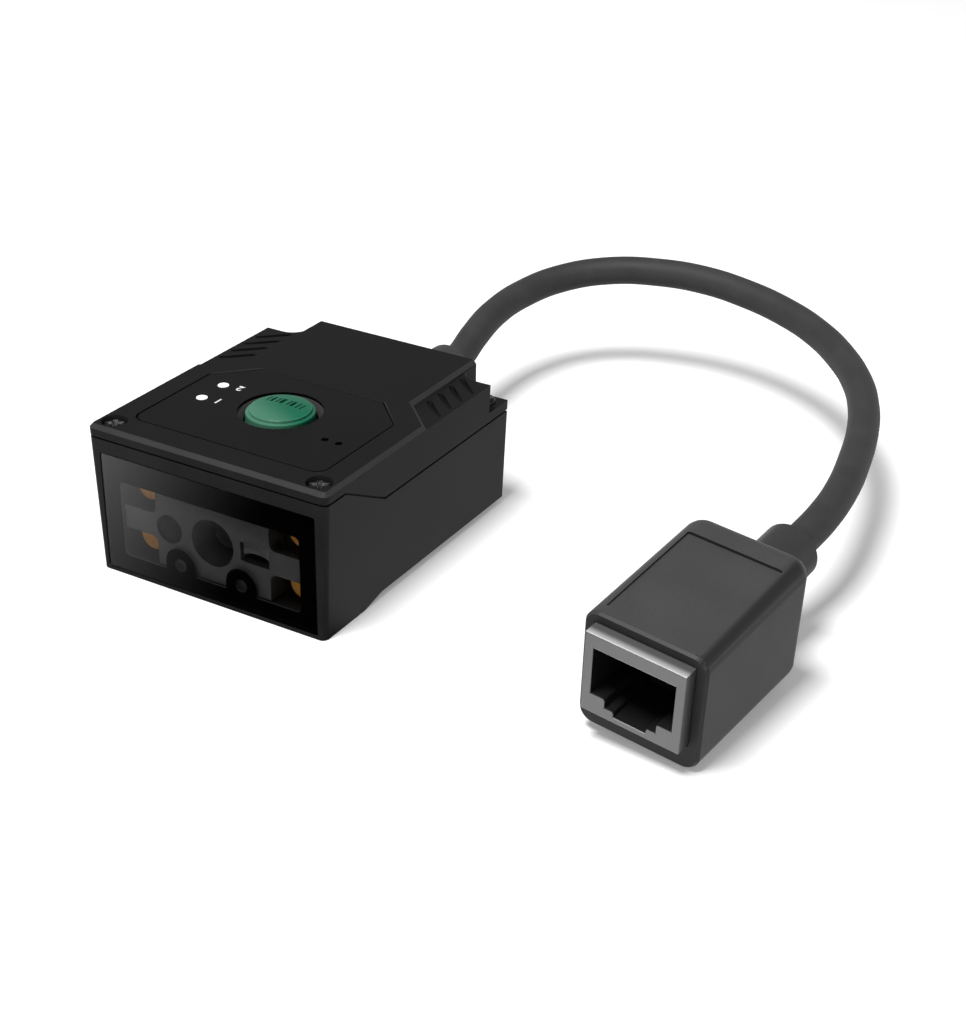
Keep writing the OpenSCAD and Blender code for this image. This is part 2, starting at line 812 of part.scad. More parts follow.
// The black border behind the window, with two arches that stand on its lower edge.
module window_mask() {
    color("#0a0a0a") from_front() slab(mask_from, mask_t) difference() {
        translate([0, window_mid]) rounded(window_w, window_h, window_corner - window_gap);
        translate([engine_side, 0]) difference() {
            translate([0, clear_mid]) rounded(clear_w, clear_high - clear_low, mask_r);
            for (side = [-1, 1]) translate([side * arch_side, 0]) {
                translate([0, arch_high]) circle(arch_r);
                translate([-arch_r, 0]) square([2 * arch_r, arch_high]);
            }
        }
        for (side = [-1, 1]) translate([engine_side + side * arch_side, arch_high])
            circle(arch_hole_r, $fn = 32);
    }
}

// Face of the engine: a middle block with an arm to each side.
module engine_face() {
    translate([-block_half, plate_low]) square([2 * block_half, plate_high - plate_low]);
}

module engine_arms() {
    translate([-arm_half, axis_h - arm_h / 2]) square([2 * arm_half, arm_h]);
    for (x = [0, 1], y = [0, 1]) mirror([x, 0]) translate([0, axis_h]) mirror([0, y])
        translate([block_half, arm_h / 2]) difference() {
            square(arm_fillet);
            translate([arm_fillet, arm_fillet]) circle(arm_fillet, $fn = 32);
        }
}

// The moulded carrier of the camera, the aimer and the lamp board.
module engine_chassis() {
    floor_seat = floor_h + tab_boss_h;
    color("#55585b") from_engine() difference() {
        union() {
            slab(plate_from, plate_t) engine_face();
            slab(plate_from, arm_t) engine_arms();
            translate([-rear_half, plate_to - over, rear_low])
                cube([2 * rear_half, rear_block_d + over, rear_high - rear_low]);
            both_sides() translate([rear_half - over, tab_y - tab_r, floor_seat])
                cube([tab_x - rear_half + over, 2 * tab_r, tab_t]);
            at_engine_tabs() translate([0, 0, floor_seat]) cylinder(r = tab_r, h = tab_t);
        }
        at_engine_tabs() cylinder(r = screw_r + play, h = deck_h, $fn = 32);
        translate([0, 0, axis_h]) {
            bar(plate_from, barrel_from - plate_from, lens_mouth_r, lens_throat_r);
            bar(barrel_from, engine_to, barrel_r + play, barrel_r + play);
        }
        translate([-pocket_w / 2, barrel_to, rear_low + pocket_floor])
            cube([pocket_w, engine_to, rear_high - rear_low - pocket_floor - pocket_roof]);
        translate([-aimer_side, 0, axis_h])
            bar(plate_from - over, over + filter_pocket, filter_r + play, filter_r + play);
        translate([aimer_side - aimer_w / 2, plate_from - over, axis_h - aimer_h / 2])
            cube([aimer_w, over + aimer_pocket, aimer_h]);
    }
}

module lens_barrel() {
    len = barrel_to - barrel_from;
    mouth_wall = 0.5;
    throat_wall = 1;
    mouth_d = 1.3;
    bore_r = barrel_r - lens_wall;
    color("#121212") from_engine() translate([0, 0, axis_h]) difference() {
        bar(barrel_from, len, barrel_r, barrel_r);
        bar(barrel_from - over / 10, mouth_d, barrel_r - mouth_wall, barrel_r - throat_wall);
        bar(barrel_from, 2 * len, bore_r, bore_r);
    }
}

// The front lens, seated in the barrel's throat.
module lens_glass() {
    r = barrel_r - lens_wall - play;
    ball_r = 1.6 * r;
    lens_t = 1.6;
    lens_set = 1;
    color("#3a4a5c") from_engine() translate([0, barrel_from + lens_set, axis_h]) intersection() {
        bar(0, lens_t, r, r);
        translate([0, ball_r, 0]) sphere(ball_r);
    }
}

module round_filter() {
    filter_set = 0.5;
    color("#17181a") from_engine() translate([-aimer_side, 0, axis_h])
        bar(plate_from + filter_set, filter_pocket - filter_set, filter_r, filter_r);
}

// The aimer's upright cylinder lens, seated at the bottom of its opening.
module aimer_lens() {
    w = aimer_w - 2 * play;
    h = aimer_h - 2 * play;
    t = 1.9;
    color("#7d8288") from_engine() translate([aimer_side, plate_from + aimer_pocket, axis_h]) intersection() {
        translate([-w / 2, -t, -h / 2]) cube([w, t, h]);
        translate([0, w - t, -h]) cylinder(r = w, h = 2 * h);
    }
}

module lamp_board() {
    head_room = 3;
    half = arm_half + 3 * play;
    low = plate_low - 2 * play;
    high = plate_high + head_room;
    color("#1b2420") from_engine() slab(plate_to, lamp_board_t) difference() {
        translate([-half, low]) square([2 * half, high - low]);
        translate([-rear_half - 2 * play, rear_low - 2 * play])
            square([2 * rear_half + 4 * play, rear_high - rear_low + 4 * play]);
    }
}

module lamps() {
    crown = 0.75;
    color("#a86a28") from_engine() both_sides() for (rise = [-lamp_rise, lamp_rise])
        translate([lamp_x, 0, axis_h + rise]) {
            bar(plate_to - lamp_t / 2, lamp_t / 2, lamp_r, lamp_r);
            bar(plate_to - lamp_t, lamp_t / 2, crown * lamp_r, lamp_r);
        }
}

module sensor_board() {
    rim = 1;
    half = rear_half + rim;
    color("#1b2420") from_engine() translate([-half, engine_to, rear_low])
        cube([2 * half, sensor_board_t, rear_high - rear_low]);
}

module image_sensor() {
    chip = [6, 1.2, 5];
    color("#22262b") from_engine()
        translate([-chip[0] / 2, engine_to - chip[1], axis_h - chip[2] / 2]) cube(chip);
}

module engine_screws() {
    head_r = 1.5;
    color("#9a9da1") from_engine() at_engine_tabs() translate([0, 0, floor_h + tab_boss_h + tab_t])
        screw(tab_thread + tab_t - 2 * play, head_r, small_head_h);
}

module main_board() {
    color("#1d3d2c") from_front() difference() {
        translate([-board_half, board_from, board_low])
            cube([2 * board_half, board_to - board_from, board_t]);
        at_board_screws() cylinder(r = screw_r + play, h = deck_h, $fn = 32);
    }
}

module board_screws() {
    head_r = 1.6;
    color("#9a9da1") from_front() at_board_screws() translate([0, 0, board_top])
        screw(screw_len, head_r, small_head_h);
}

// A flat ribbon that leaves the sensor board, turns up and ends under the main board.
module sensor_flex() {
    flex_w = 6;
    reach = 3;
    drop = 3;
    t = 0.3;
    back = engine_to + sensor_board_t;
    turn = back + reach;
    low = axis_h - drop;
    color("#b5742c") from_engine() across(flex_w) polygon([
        [back, low], [turn + t, low], [turn + t, board_low],
        [turn, board_low], [turn, low + t], [back, low + t]
    ]);
}

module cable_header() {
    wall = 1;
    mouth = 1.5;
    color("#e6e2d4") from_front() difference() {
        translate([-header_w / 2, header_to - header_d, board_low - header_h])
            cube([header_w, header_d, header_h]);
        translate([-header_w / 2 + wall, header_to - header_d - over, board_low - header_h + wall])
            cube([header_w - 2 * wall, mouth + over, header_h - 2 * wall]);
    }
}

module inner_leads() {
    shades = ["#c03a2c", "#d9d9d9", "#2f6f3a", "#1c1c1c", "#2a4f9c", "#c9a23a"];
    lead_r = 0.45;
    lead_pitch = 1.2;
    lead_h = board_low - header_h / 2;
    for (i = [0 : len(shades) - 1])
        color(shades[i]) from_front() translate([lead_pitch * (i - (len(shades) - 1) / 2), 0, lead_h])
            bar(header_to, gland_inner - header_to, lead_r, lead_r, $fn = 16);
}

module mount_inserts() {
    color("#b08d3c") from_front() at_mounts() difference() {
        cylinder(r = insert_r, h = insert_len);
        translate([0, 0, -over]) cylinder(r = insert_bore_r, h = insert_len + 2 * over);
    }
}

// The strain relief: a flange on each side of the rear wall and a slotted tail.
module cable_gland() {
    collar = 2;
    tip = 0.5;
    tip_bevel = 0.4;
    tail = gland_len - collar - tip;
    slot_w = 0.9;
    slot_floor = gland_end_r - 1.2;
    slot_first = body_d + collar + 1;
    pitch = (tail - collar) / gland_slots;
    color("#3d3d3d") from_front() translate([0, 0, cable_h]) difference() {
        union() {
            bar(gland_inner, body_d - rear_wall - gland_inner, gland_r, gland_r);
            bar(body_d - rear_wall, rear_wall, neck_r, neck_r);
            bar(body_d, collar, gland_r, gland_r);
            bar(body_d + collar, tail, gland_r, gland_end_r);
            bar(gland_end - tip, tip, gland_end_r, gland_end_r - tip_bevel);
        }
        for (i = [0 : gland_slots - 1]) translate([0, slot_first + i * pitch, 0])
            rotate([0, 90 * (i % 2), 0]) for (side = [0, 1]) mirror([0, 0, side])
                translate([-gland_r, 0, slot_floor]) cube([2 * gland_r, slot_w, gland_r]);
    }
}

// Turns a direction of the socket's own frame into the reader's frame.
function turned(v) =
    let (a = socket_turn)
    let (p = [v[0], v[1] * cos(a[0]) - v[2] * sin(a[0]), v[1] * sin(a[0]) + v[2] * cos(a[0])])
    let (q = [p[0] * cos(a[1]) + p[2] * sin(a[1]), p[1], -p[0] * sin(a[1]) + p[2] * cos(a[1])])
    [q[0] * cos(a[2]) - q[1] * sin(a[2]), q[0] * sin(a[2]) + q[1] * cos(a[2]), q[2]];

function unit(v) = v / norm(v);

// Direction of the cable at a point of its route.
function cable_way(i) =
    i == 0 ? [0, 1, 0] :
    i == len(cable_route) - 1 ? turned([0, -1, 0]) :
    unit(cable_route[i + 1] - cable_route[i - 1]);

// One ring of points round the cable.
function cable_ring(i) =
    let (way = cable_way(i))
    let (across = unit(cross(way, [0, 0, 1])))
    let (above = cross(across, way))
    [for (k = [0 : cable_sides - 1])
        let (a = 360 * k / cable_sides)
        cable_route[i] + cable_d / 2 * (cos(a) * across + sin(a) * above)];

// The cable's tube, swept along its route as one closed skin.
module cable() {
    rings = len(cable_route);
    points = [for (i = [0 : rings - 1]) each cable_ring(i)];
    walls = [
        for (i = [0 : rings - 2], k = [0 : cable_sides - 1])
            let (n = (k + 1) % cable_sides)
            [i * cable_sides + k, (i + 1) * cable_sides + k, (i + 1) * cable_sides + n, i * cable_sides + n]
    ];
    near = [for (k = [0 : cable_sides - 1]) k];
    far = [for (k = [cable_sides - 1 : -1 : 0]) (rings - 1) * cable_sides + k];
    color("#404040") polyhedron(points, concat(walls, [near, far]));
}

// Lays a piece that is drawn from the collar's end where the socket lies.
module at_socket() {
    translate(socket_at) rotate(socket_turn) children();
}

// Places a piece in the socket's frame on the boot's middle line, which lies beside the collar's axis.
module at_boot() {
    at_socket() translate([boot_side, 0, 0]) children();
}

// The boot's soft outer form: crisp round edges at the front, fuller ones at the rear.
module boot_form() {
    front_r = 2.2;
    front_bevel = 0.3;
    bevel_len = 0.4;
    back_r = 3;
    back_low = boot_low - boot_sink;
    back_top = boot_top + boot_lift;
    hull() for (side = [-1, 1]) {
        for (z = [boot_low + front_r, boot_top - front_r])
            translate([side * (boot_w / 2 - front_r), boot_front, z]) rotate([-90, 0, 0])
                cylinder(r1 = front_r - front_bevel, r2 = front_r, h = bevel_len, $fn = 24);
        for (z = [back_low + back_r, back_top - back_r])
            translate([side * (boot_w / 2 + boot_flare - back_r), boot_back - back_r, z])
                sphere(back_r, $fn = 24);
    }
}

// The moulded boot with its collar, a shallow field on top and the jack's pocket.
module socket_boot() {
    field_w = 14.2;
    field_d = 19.8;
    field_deep = 0.3;
    field_edge = 2;
    root = 4;
    tip = 0.5;
    tip_bevel = 0.4;
    color("#454545") at_boot() difference() {
        union() {
            boot_form();
            translate([-boot_side, 0, 0]) {
                bar(boot_back - root, collar_len + root - tip, collar_r, collar_r);
                bar(-tip, tip, collar_r, collar_r - tip_bevel);
            }
        }
        translate([-field_w / 2, boot_front + field_edge, boot_top - field_deep])
            cube([field_w, field_d, over]);
        translate([-jack_w / 2 - play, boot_front - over, jack_low - play])
            cube([jack_w + 2 * play, jack_d - jack_proud + over + play, jack_h + 2 * play]);
    }
}

// The socket's insert with its plug opening and stepped latch notch.
module jack_body() {
    latch_w = 7.6;
    latch_h = 1.4;
    latch_stop = 2;
    latch_d = port_d - latch_stop;
    tongue_w = 4.8;
    tongue_h = 2.2;
    tongue_stop = 4;
    tongue_d = port_d - tongue_stop;
    color("#7f7f7f") at_boot() difference() {
        translate([-jack_w / 2, jack_front, jack_low]) cube([jack_w, jack_d, jack_h]);
        translate([0, jack_front - over, 0]) {
            translate([-port_w / 2, 0, port_low]) cube([port_w, port_d + over, port_h]);
            translate([-latch_w / 2, 0, port_low - latch_h]) cube([latch_w, latch_d + over, port_h]);
            translate([-tongue_w / 2, 0, port_low - tongue_h]) cube([tongue_w, tongue_d + over, port_h]);
        }
    }
}

// Eight spring wires that slope from the roof of the opening to its rear wall.
module jack_contacts() {
    count = 8;
    wire = 0.4;
    pitch = 1.02;
    set_back = 2.5;
    from = jack_front + set_back;
    drop = 0.9;
    run = port_d - set_back - 2 * play;
    color("#c9a34a") at_boot() for (i = [0 : count - 1])
        translate([(i - (count - 1) / 2) * pitch - wire / 2, 0, port_high - play])
            rotate([90, 0, 90]) linear_extrude(wire) polygon([
                [from, 0], [from + run, 0], [from + run, -drop - wire], [from + run - wire, -drop - wire],
                [from, -wire]
            ]);
}

base_housing();
top_cover();
top_overlay();
cover_screws();
scan_button();
switch_plunger();
tact_switch();
light_guides();
status_leds();
buzzer();
front_window();
window_mask();
engine_chassis();
lens_barrel();
lens_glass();
round_filter();
aimer_lens();
lamp_board();
lamps();
sensor_board();
image_sensor();
engine_screws();
main_board();
board_screws();
sensor_flex();
cable_header();
inner_leads();
mount_inserts();
cable_gland();
cable();
socket_boot();
jack_body();
jack_contacts();
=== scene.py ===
"""Looks of a compact fixed barcode reader: housing, window, button, cord and network socket."""

import logging
import math
from dataclasses import dataclass
from enum import Enum
from typing import Any, Callable

import bmesh
import bpy
from mathutils import Euler, Matrix, Vector


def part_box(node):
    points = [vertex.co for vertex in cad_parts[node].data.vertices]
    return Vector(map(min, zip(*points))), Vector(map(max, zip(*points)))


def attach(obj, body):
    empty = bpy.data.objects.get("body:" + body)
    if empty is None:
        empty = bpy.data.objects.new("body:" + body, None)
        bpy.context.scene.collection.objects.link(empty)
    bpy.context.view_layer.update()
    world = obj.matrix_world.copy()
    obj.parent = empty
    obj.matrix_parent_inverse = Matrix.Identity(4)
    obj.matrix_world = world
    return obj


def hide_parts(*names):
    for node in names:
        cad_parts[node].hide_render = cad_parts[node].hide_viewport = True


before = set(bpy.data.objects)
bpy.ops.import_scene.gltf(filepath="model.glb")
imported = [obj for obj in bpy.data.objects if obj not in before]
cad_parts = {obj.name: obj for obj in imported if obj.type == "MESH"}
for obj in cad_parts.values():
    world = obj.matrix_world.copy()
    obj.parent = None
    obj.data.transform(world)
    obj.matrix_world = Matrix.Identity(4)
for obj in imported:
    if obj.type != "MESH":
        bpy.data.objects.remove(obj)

LOG = logging.getLogger("reader")

MM = 0.001
IMAGE_LONG_SIDE = 1024
SENSOR = 36.0
WELD = 0.001 * MM
NEAR = 0.01 * MM
FLAT = math.radians(0.3)
SHARP = math.radians(28.0)
CREASE = math.radians(38.0)

# Spans of lean, from 0 for a wall to 1 for a deck, in which bevels, roundings, decks and walls fade.
BEVEL_BEGINS = (0.3, 0.55)
BEVEL_ENDS = (0.84, 0.97)
ROLL_ENDS = (0.8, 0.97)
DECK_BEGINS = (0.9, 0.99)
WALL_ENDS = (0.15, 0.5)

Colour = tuple[float, float, float]
Point = tuple[float, float, float]

BLACK: Colour = (0.0, 0.0, 0.0)


def scaled(colour: Colour, share: float) -> Colour:
    """A colour made darker or lighter by a share."""
    return tuple(share * part for part in colour)


def grey(level: float) -> Colour:
    """An even grey."""
    return (level, level, level)


class Sock:
    """An output of a shader node that takes Python arithmetic."""

    def __init__(self, shader: "Shader", plug: bpy.types.NodeSocket) -> None:
        """Keeps the socket and the shader that it belongs to."""
        self.shader = shader
        self.plug = plug

    def _maths(self, operation: str, first: Any, second: Any) -> "Sock":
        """Adds one Math node.

        Args:
            operation: The node's operation, such as ADD.
            first: A number or a socket.
            second: A number or a socket.

        Returns:
            The result.
        """
        return self.shader.add("ShaderNodeMath", {"operation": operation}, {0: first, 1: second})

    def __add__(self, other: Any) -> "Sock":
        """The sum."""
        return self._maths("ADD", self, other)

    def __radd__(self, other: Any) -> "Sock":
        """The sum, from the right."""
        return self._maths("ADD", other, self)

    def __sub__(self, other: Any) -> "Sock":
        """The difference."""
        return self._maths("SUBTRACT", self, other)

    def __rsub__(self, other: Any) -> "Sock":
        """The difference, from the right."""
        return self._maths("SUBTRACT", other, self)

    def __mul__(self, other: Any) -> "Sock":
        """The product."""
        return self._maths("MULTIPLY", self, other)

    def __rmul__(self, other: Any) -> "Sock":
        """The product, from the right."""
        return self._maths("MULTIPLY", other, self)

    def __abs__(self) -> "Sock":
        """The size without its sign."""
        return self._maths("ABSOLUTE", self, 0.0)

    def ramp(self, low: float, high: float, start: float = 0.0, end: float = 1.0) -> "Sock":
        """Eases from one value to another.

        Args:
            low: Where the change begins.
            high: Where it ends.
            start: The value below it.
            end: The value above it.

        Returns:
            The eased value.
        """
        settings = {"interpolation_type": "SMOOTHSTEP"}
        inputs = {"Value": self, "From Min": low, "From Max": high, "To Min": start, "To Max": end}
        return self.shader.add("ShaderNodeMapRange", settings, inputs)


class Shader:
    """A node tree, of a material or of the world, that is filled with plain calls."""

    def __init__(self, owner: bpy.types.ID) -> None:
        """Empties the tree of a material or a world."""
        owner.use_nodes = True
        self.tree = owner.node_tree
        self.tree.nodes.clear()

    def add(self, kind: str, settings: dict[str, Any] | None = None,
            inputs: dict[str | int, Any] | None = None, output: str | int = 0) -> Sock | None:
        """Adds a node.

        Args:
            kind: The node's type.
            settings: Its properties.
            inputs: A number, a colour or a socket for each input.
            output: The output that is handed back.

        Returns:
            That output, or nothing for a node that has none.
        """
        node = self.tree.nodes.new(kind)
        for name, value in (settings or {}).items():
            setattr(node, name, value)
        for name, value in (inputs or {}).items():
            if isinstance(value, Sock):
                self.tree.links.new(value.plug, node.inputs[name])
            else:
                node.inputs[name].default_value = value
        return Sock(self, node.outputs[output]) if node.outputs else None

    def place(self) -> Sock:
        """The point on the piece, in metres."""
        return self.add("ShaderNodeTexCoord", output="Object")

    def axis(self, name: str) -> Sock:
        """One coordinate, X, Y or Z, of the point on the piece."""
        return self.add("ShaderNodeSeparateXYZ", inputs={0: self.place()}, output=name)

    def along(self, direction: Point, start: Point = (0.0, 0.0, 0.0)) -> Sock:
        """How far the point on the piece lies along a direction.

        Args:
            direction: The direction, whose length scales the result.
            start: Where the count begins.

        Returns:
            The scaled distance.
        """
        offset = self.add("ShaderNodeVectorMath", {"operation": "SUBTRACT"}, {0: self.place(), 1: start})
        inputs = {0: offset, 1: direction}
        return self.add("ShaderNodeVectorMath", {"operation": "DOT_PRODUCT"}, inputs, "Value")

    def facing(self, name: str) -> Sock:
        """How far the surface faces along an axis, X, Y or Z: from -1 to 1."""
        normal = self.add("ShaderNodeNewGeometry", output="Normal")
        return self.add("ShaderNodeSeparateXYZ", inputs={0: normal}, output=name)

    def upward(self) -> Sock:
        """How far the surface leans from upright: 0 for a wall and 1 for a deck."""
        return abs(self.facing("Z"))

    def noise(self, size: float, detail: float = 2.0) -> Sock:
        """Even noise.

        Args:
            size: The size of its spots, in metres.
            detail: How many finer layers it has.

        Returns:
            A value about 0.5.
        """
        inputs = {"Vector": self.place(), "Scale": 1.0 / size, "Detail": detail}
        return self.add("ShaderNodeTexNoise", inputs=inputs)

    def blend(self, share: Sock, first: Any, second: Any) -> Sock:
        """Mixes two colours.

        Args:
            share: How much of the second colour there is.
            first: A colour or a socket.
            second: A colour or a socket.

        Returns:
            The mixed colour.
        """
        inputs = {0: share}
        for key, value in ((6, first), (7, second)):
            inputs[key] = value if isinstance(value, Sock) else (*value, 1.0)
        return self.add("ShaderNodeMix", {"data_type": "RGBA"}, inputs, output=2)

    def bump(self, height: Sock, depth: float) -> Sock:
        """Turns a height of 0 to 1 into a normal, with a depth in metres."""
        return self.add("ShaderNodeBump", inputs={"Height": height, "Distance": depth})

    def surface(self, **sockets: Any) -> None:
        """Ends the tree in a Principled surface whose sockets take the given values."""
        inputs = {name.replace("_", " "): value for name, value in sockets.items()}
        surface = self.add("ShaderNodeBsdfPrincipled", inputs=inputs)
        self.add("ShaderNodeOutputMaterial", inputs={"Surface": surface})


@dataclass(frozen=True)
class Finish:
    """A surface that turns into one material on first use."""

    name: str

    def material(self) -> bpy.types.Material:
        """The material of this finish."""
        made = bpy.data.materials.get("finish_" + self.name)
        if made is None:
            made = bpy.data.materials.new("finish_" + self.name)
            self.fill(Shader(made))
        return made

    def fill(self, shader: Shader) -> None:
        """Adds the nodes of this finish.

        Args:
            shader: The tree to fill.
        """
        raise NotImplementedError


class Grain(Enum):
    """Textures of a mould: the speckle's size and its depth, in metres."""

    SPARK = (0.21 * MM, 0.016 * MM)
    SATIN = (0.13 * MM, 0.006 * MM)
    SMOOTH = (0.5 * MM, 0.002 * MM)


@dataclass(frozen=True)
class Moulded(Finish):
    """Moulded plastic with a speckled grain, faint clouds of tone and bevels in the edge colour: a painted
    highlight where that colour is lighter, painted shade where it is darker.

    Level faces, walls and the roundings towards X keep the shares `deck`, `wall` and `roll` of the colour,
    as painted shade. Along a given slope it goes over into a paler colour, a painted highlight.
    """

    colour: Colour
    edge: Colour
    roughness: float = 0.5
    specular: float = 0.2
    grain: Grain = Grain.SPARK
    deck: float = 1.0
    wall: float = 1.0
    roll: float = 1.0
    mottle: float = 0.28
    cloud: float = 9.0 * MM
    sheen_colour: Colour = BLACK
    sheen_slope: Point = (0.0, 0.0, 0.0)
    sheen_shift: float = 0.0

    def fill(self, shader: Shader) -> None:
        """Adds the nodes of this finish.

        Args:
            shader: The tree to fill.
        """
        size, depth = self.grain.value
        speckle = shader.noise(size, 3.0)
        clouds = shader.noise(self.cloud, 3.0)
        lean = shader.upward()
        bevel = lean.ramp(*BEVEL_BEGINS) * lean.ramp(*BEVEL_ENDS, 1.0, 0.0)
        dark = scaled(self.colour, 1.0 - self.mottle)
        light = scaled(self.colour, 1.0 + self.mottle)
        toned = shader.blend((0.65 * speckle + 0.35 * clouds).ramp(0.32, 0.68), dark, light)
        # Painted shade on level faces and walls.
        shade = lean.ramp(*DECK_BEGINS, 0.0, 1.0 - self.deck) + lean.ramp(*WALL_ENDS, 1.0 - self.wall, 0.0)
        flat = shader.blend(shade, toned, BLACK)
        # Painted highlight on bevels where the edge colour is lighter, painted shade where it is darker.
        painted_bevel = shader.blend(bevel * clouds.ramp(0.2, 0.5, 0.8, 1.0), flat, self.edge)
        # Painted shade on the roundings that face towards X.
        roll = lean.ramp(*BEVEL_BEGINS) * lean.ramp(*ROLL_ENDS, 1.0, 0.0) * shader.facing("X").ramp(0.2, 0.5)
        colour = shader.blend((1.0 - self.roll) * roll, painted_bevel, BLACK)
        # Painted highlight: a paler colour along the given slope.
        if any(self.sheen_slope):
            share = (shader.along(self.sheen_slope) + self.sheen_shift).ramp(0.0, 1.0)
            colour = shader.blend(share, colour, self.sheen_colour)
        rough = self.roughness + 0.12 * (clouds - 0.5) + 0.16 * (speckle - 0.5) - 0.1 * bevel
        inputs = {"Base_Color": colour, "Roughness": rough, "Normal": shader.bump(speckle, depth)}
        shader.surface(Specular_IOR_Level=self.specular, **inputs)


@dataclass(frozen=True)
class Metal(Finish):
    """Bare or blackened metal with fine turning marks and a few dull spots."""

    colour: Colour
    roughness: float = 0.3
    spot: float = 0.35 * MM
    mark: float = 0.06 * MM
    mark_deep: float = 0.002 * MM

    def fill(self, shader: Shader) -> None:
        """Adds the nodes of this finish.

        Args:
            shader: The tree to fill.
        """
        spots = shader.noise(self.spot, 4.0)
        marks = shader.noise(self.mark, 2.0)
        inputs = {
            "Base_Color": shader.blend(spots.ramp(0.35, 0.65), scaled(self.colour, 0.6), self.colour),
            "Roughness": self.roughness + 0.25 * (spots - 0.5) + 0.1 * (marks - 0.5),
            "Normal": shader.bump(marks, self.mark_deep),
        }
        shader.surface(Metallic=1.0, **inputs)


@dataclass(frozen=True)
class Jacket(Finish):
    """Cable rubber: dull, with a fine drawn grain and scuffs, and painted shade on its underside."""

    colour: Colour
    roughness: float = 0.6
    specular: float = 0.25
    grain: float = 0.18 * MM
    grain_deep: float = 0.008 * MM
    scuff: float = 5.0 * MM

    def fill(self, shader: Shader) -> None:
        """Adds the nodes of this finish.

        Args:
            shader: The tree to fill.
        """
        grain = shader.noise(self.grain, 3.0)
        scuffs = shader.noise(self.scuff, 4.0)
        dust = (0.5 * grain + 0.5 * scuffs).ramp(0.3, 0.7)
        dusty = shader.blend(dust, scaled(self.colour, 0.8), scaled(self.colour, 1.2))
        inputs = {
            # Painted shade: darker where the surface faces down.
            "Base_Color": shader.blend(shader.facing("Z").ramp(-0.6, 0.3, 0.4, 0.0), dusty, BLACK),
            "Roughness": self.roughness + 0.2 * (scuffs - 0.5),
            "Normal": shader.bump(grain, self.grain_deep),
        }
        shader.surface(Specular_IOR_Level=self.specular, **inputs)


@dataclass(frozen=True)
class TintedGlass(Finish):
    """A polished pane that lets part of the light through."""

    tint: Colour
    cover: float
    gloss: float = 0.9
    index: float = 1.5
    smear: float = 6.0 * MM

    def fill(self, shader: Shader) -> None:
        """Adds the nodes of this finish.

        Args:
            shader: The tree to fill.
        """
        smears = shader.noise(self.smear, 3.0)
        inputs = {
            "Base_Color": shader.blend(smears, self.tint, scaled(self.tint, 1.3)),
            "Roughness": 0.01 + 0.04 * smears,
        }
        shader.surface(Alpha=self.cover, Specular_IOR_Level=self.gloss, IOR=self.index, **inputs)


@dataclass(frozen=True)
class Ink(Finish):
    """Dense black print and dark coated faces, also painted shade, with thin spots that barely show."""

    colour: Colour
    roughness: float = 0.5
    specular: float = 0.05
    lower: float = 0.0
    spot: float = 2.5 * MM

    def fill(self, shader: Shader) -> None:
        """Adds the nodes of this finish, with painted shade on faces that look up, as much as `lower` says.

        Args:
            shader: The tree to fill.
        """
        thin = shader.noise(self.spot, 3.0)
        printed = shader.blend(thin, self.colour, scaled(self.colour, 1.5))
        # Painted shade on faces that look up.
        shade = shader.facing("Z").ramp(-0.3, 0.7, 0.0, self.lower)
        inputs = {
            "Base_Color": shader.blend(shade, printed, BLACK),
            "Roughness": self.roughness + 0.1 * (thin - 0.5),
        }
        shader.surface(Specular_IOR_Level=self.specular, **inputs)


@dataclass(frozen=True)
class Sheet(Finish):
    """A drawn metal shield: dull grey, faintly brushed along the width, with a painted highlight on top and
    painted shade at its sides and root.
    """

    colour: Colour
    # Colour of the upward faces: a painted highlight.
    edge: Colour
    root: Point
    along: Point
    reach: float
    roughness: float = 0.4
    metallic: float = 0.5
    shade_colour: Colour = grey(0.045)
    brush: float = 0.12 * MM
    brush_deep: float = 0.001 * MM
    stretch: Point = (0.08, 1.0, 1.0)
    cloud: float = 3.0 * MM

    def fill(self, shader: Shader) -> None:
        """Adds the nodes of this finish, whose painted shade deepens from the front edge to the root.

        Args:
            shader: The tree to fill.
        """
        height = shader.along(self.along, self.root)
        # Painted shade that deepens from the front edge to the root at the boot.
        root_shade = height.ramp(0.35 * self.reach, 1.15 * self.reach, 0.95, 0.0)
        place = shader.add("ShaderNodeMapping", inputs={"Vector": shader.place(), "Scale": self.stretch})
        inputs = {"Vector": place, "Scale": 1.0 / self.brush, "Detail": 2.0}
        brushed = shader.add("ShaderNodeTexNoise", inputs=inputs)
        clouds = shader.noise(self.cloud, 2.0)
        # Painted highlight on upward faces, painted shade on the faces towards X.
        top_light = shader.upward().ramp(0.3, 0.5)
        flank = 0.9 * abs(shader.facing("X")).ramp(0.5, 0.8)
        uneven = (0.5 * brushed + 0.5 * clouds).ramp(0.3, 0.7)
        face = shader.blend(uneven, scaled(self.colour, 0.93), self.colour)
        dark = root_shade + flank - flank * root_shade
        inputs = {
            "Base_Color": shader.blend(dark, shader.blend(top_light, face, self.edge), self.shade_colour),
            "Roughness": self.roughness + 0.15 * (brushed - 0.5) + 0.1 * (clouds - 0.5),
            "Metallic": self.metallic * (1.0 - dark),
            "Normal": shader.bump(brushed, self.brush_deep),
        }
        shader.surface(**inputs)


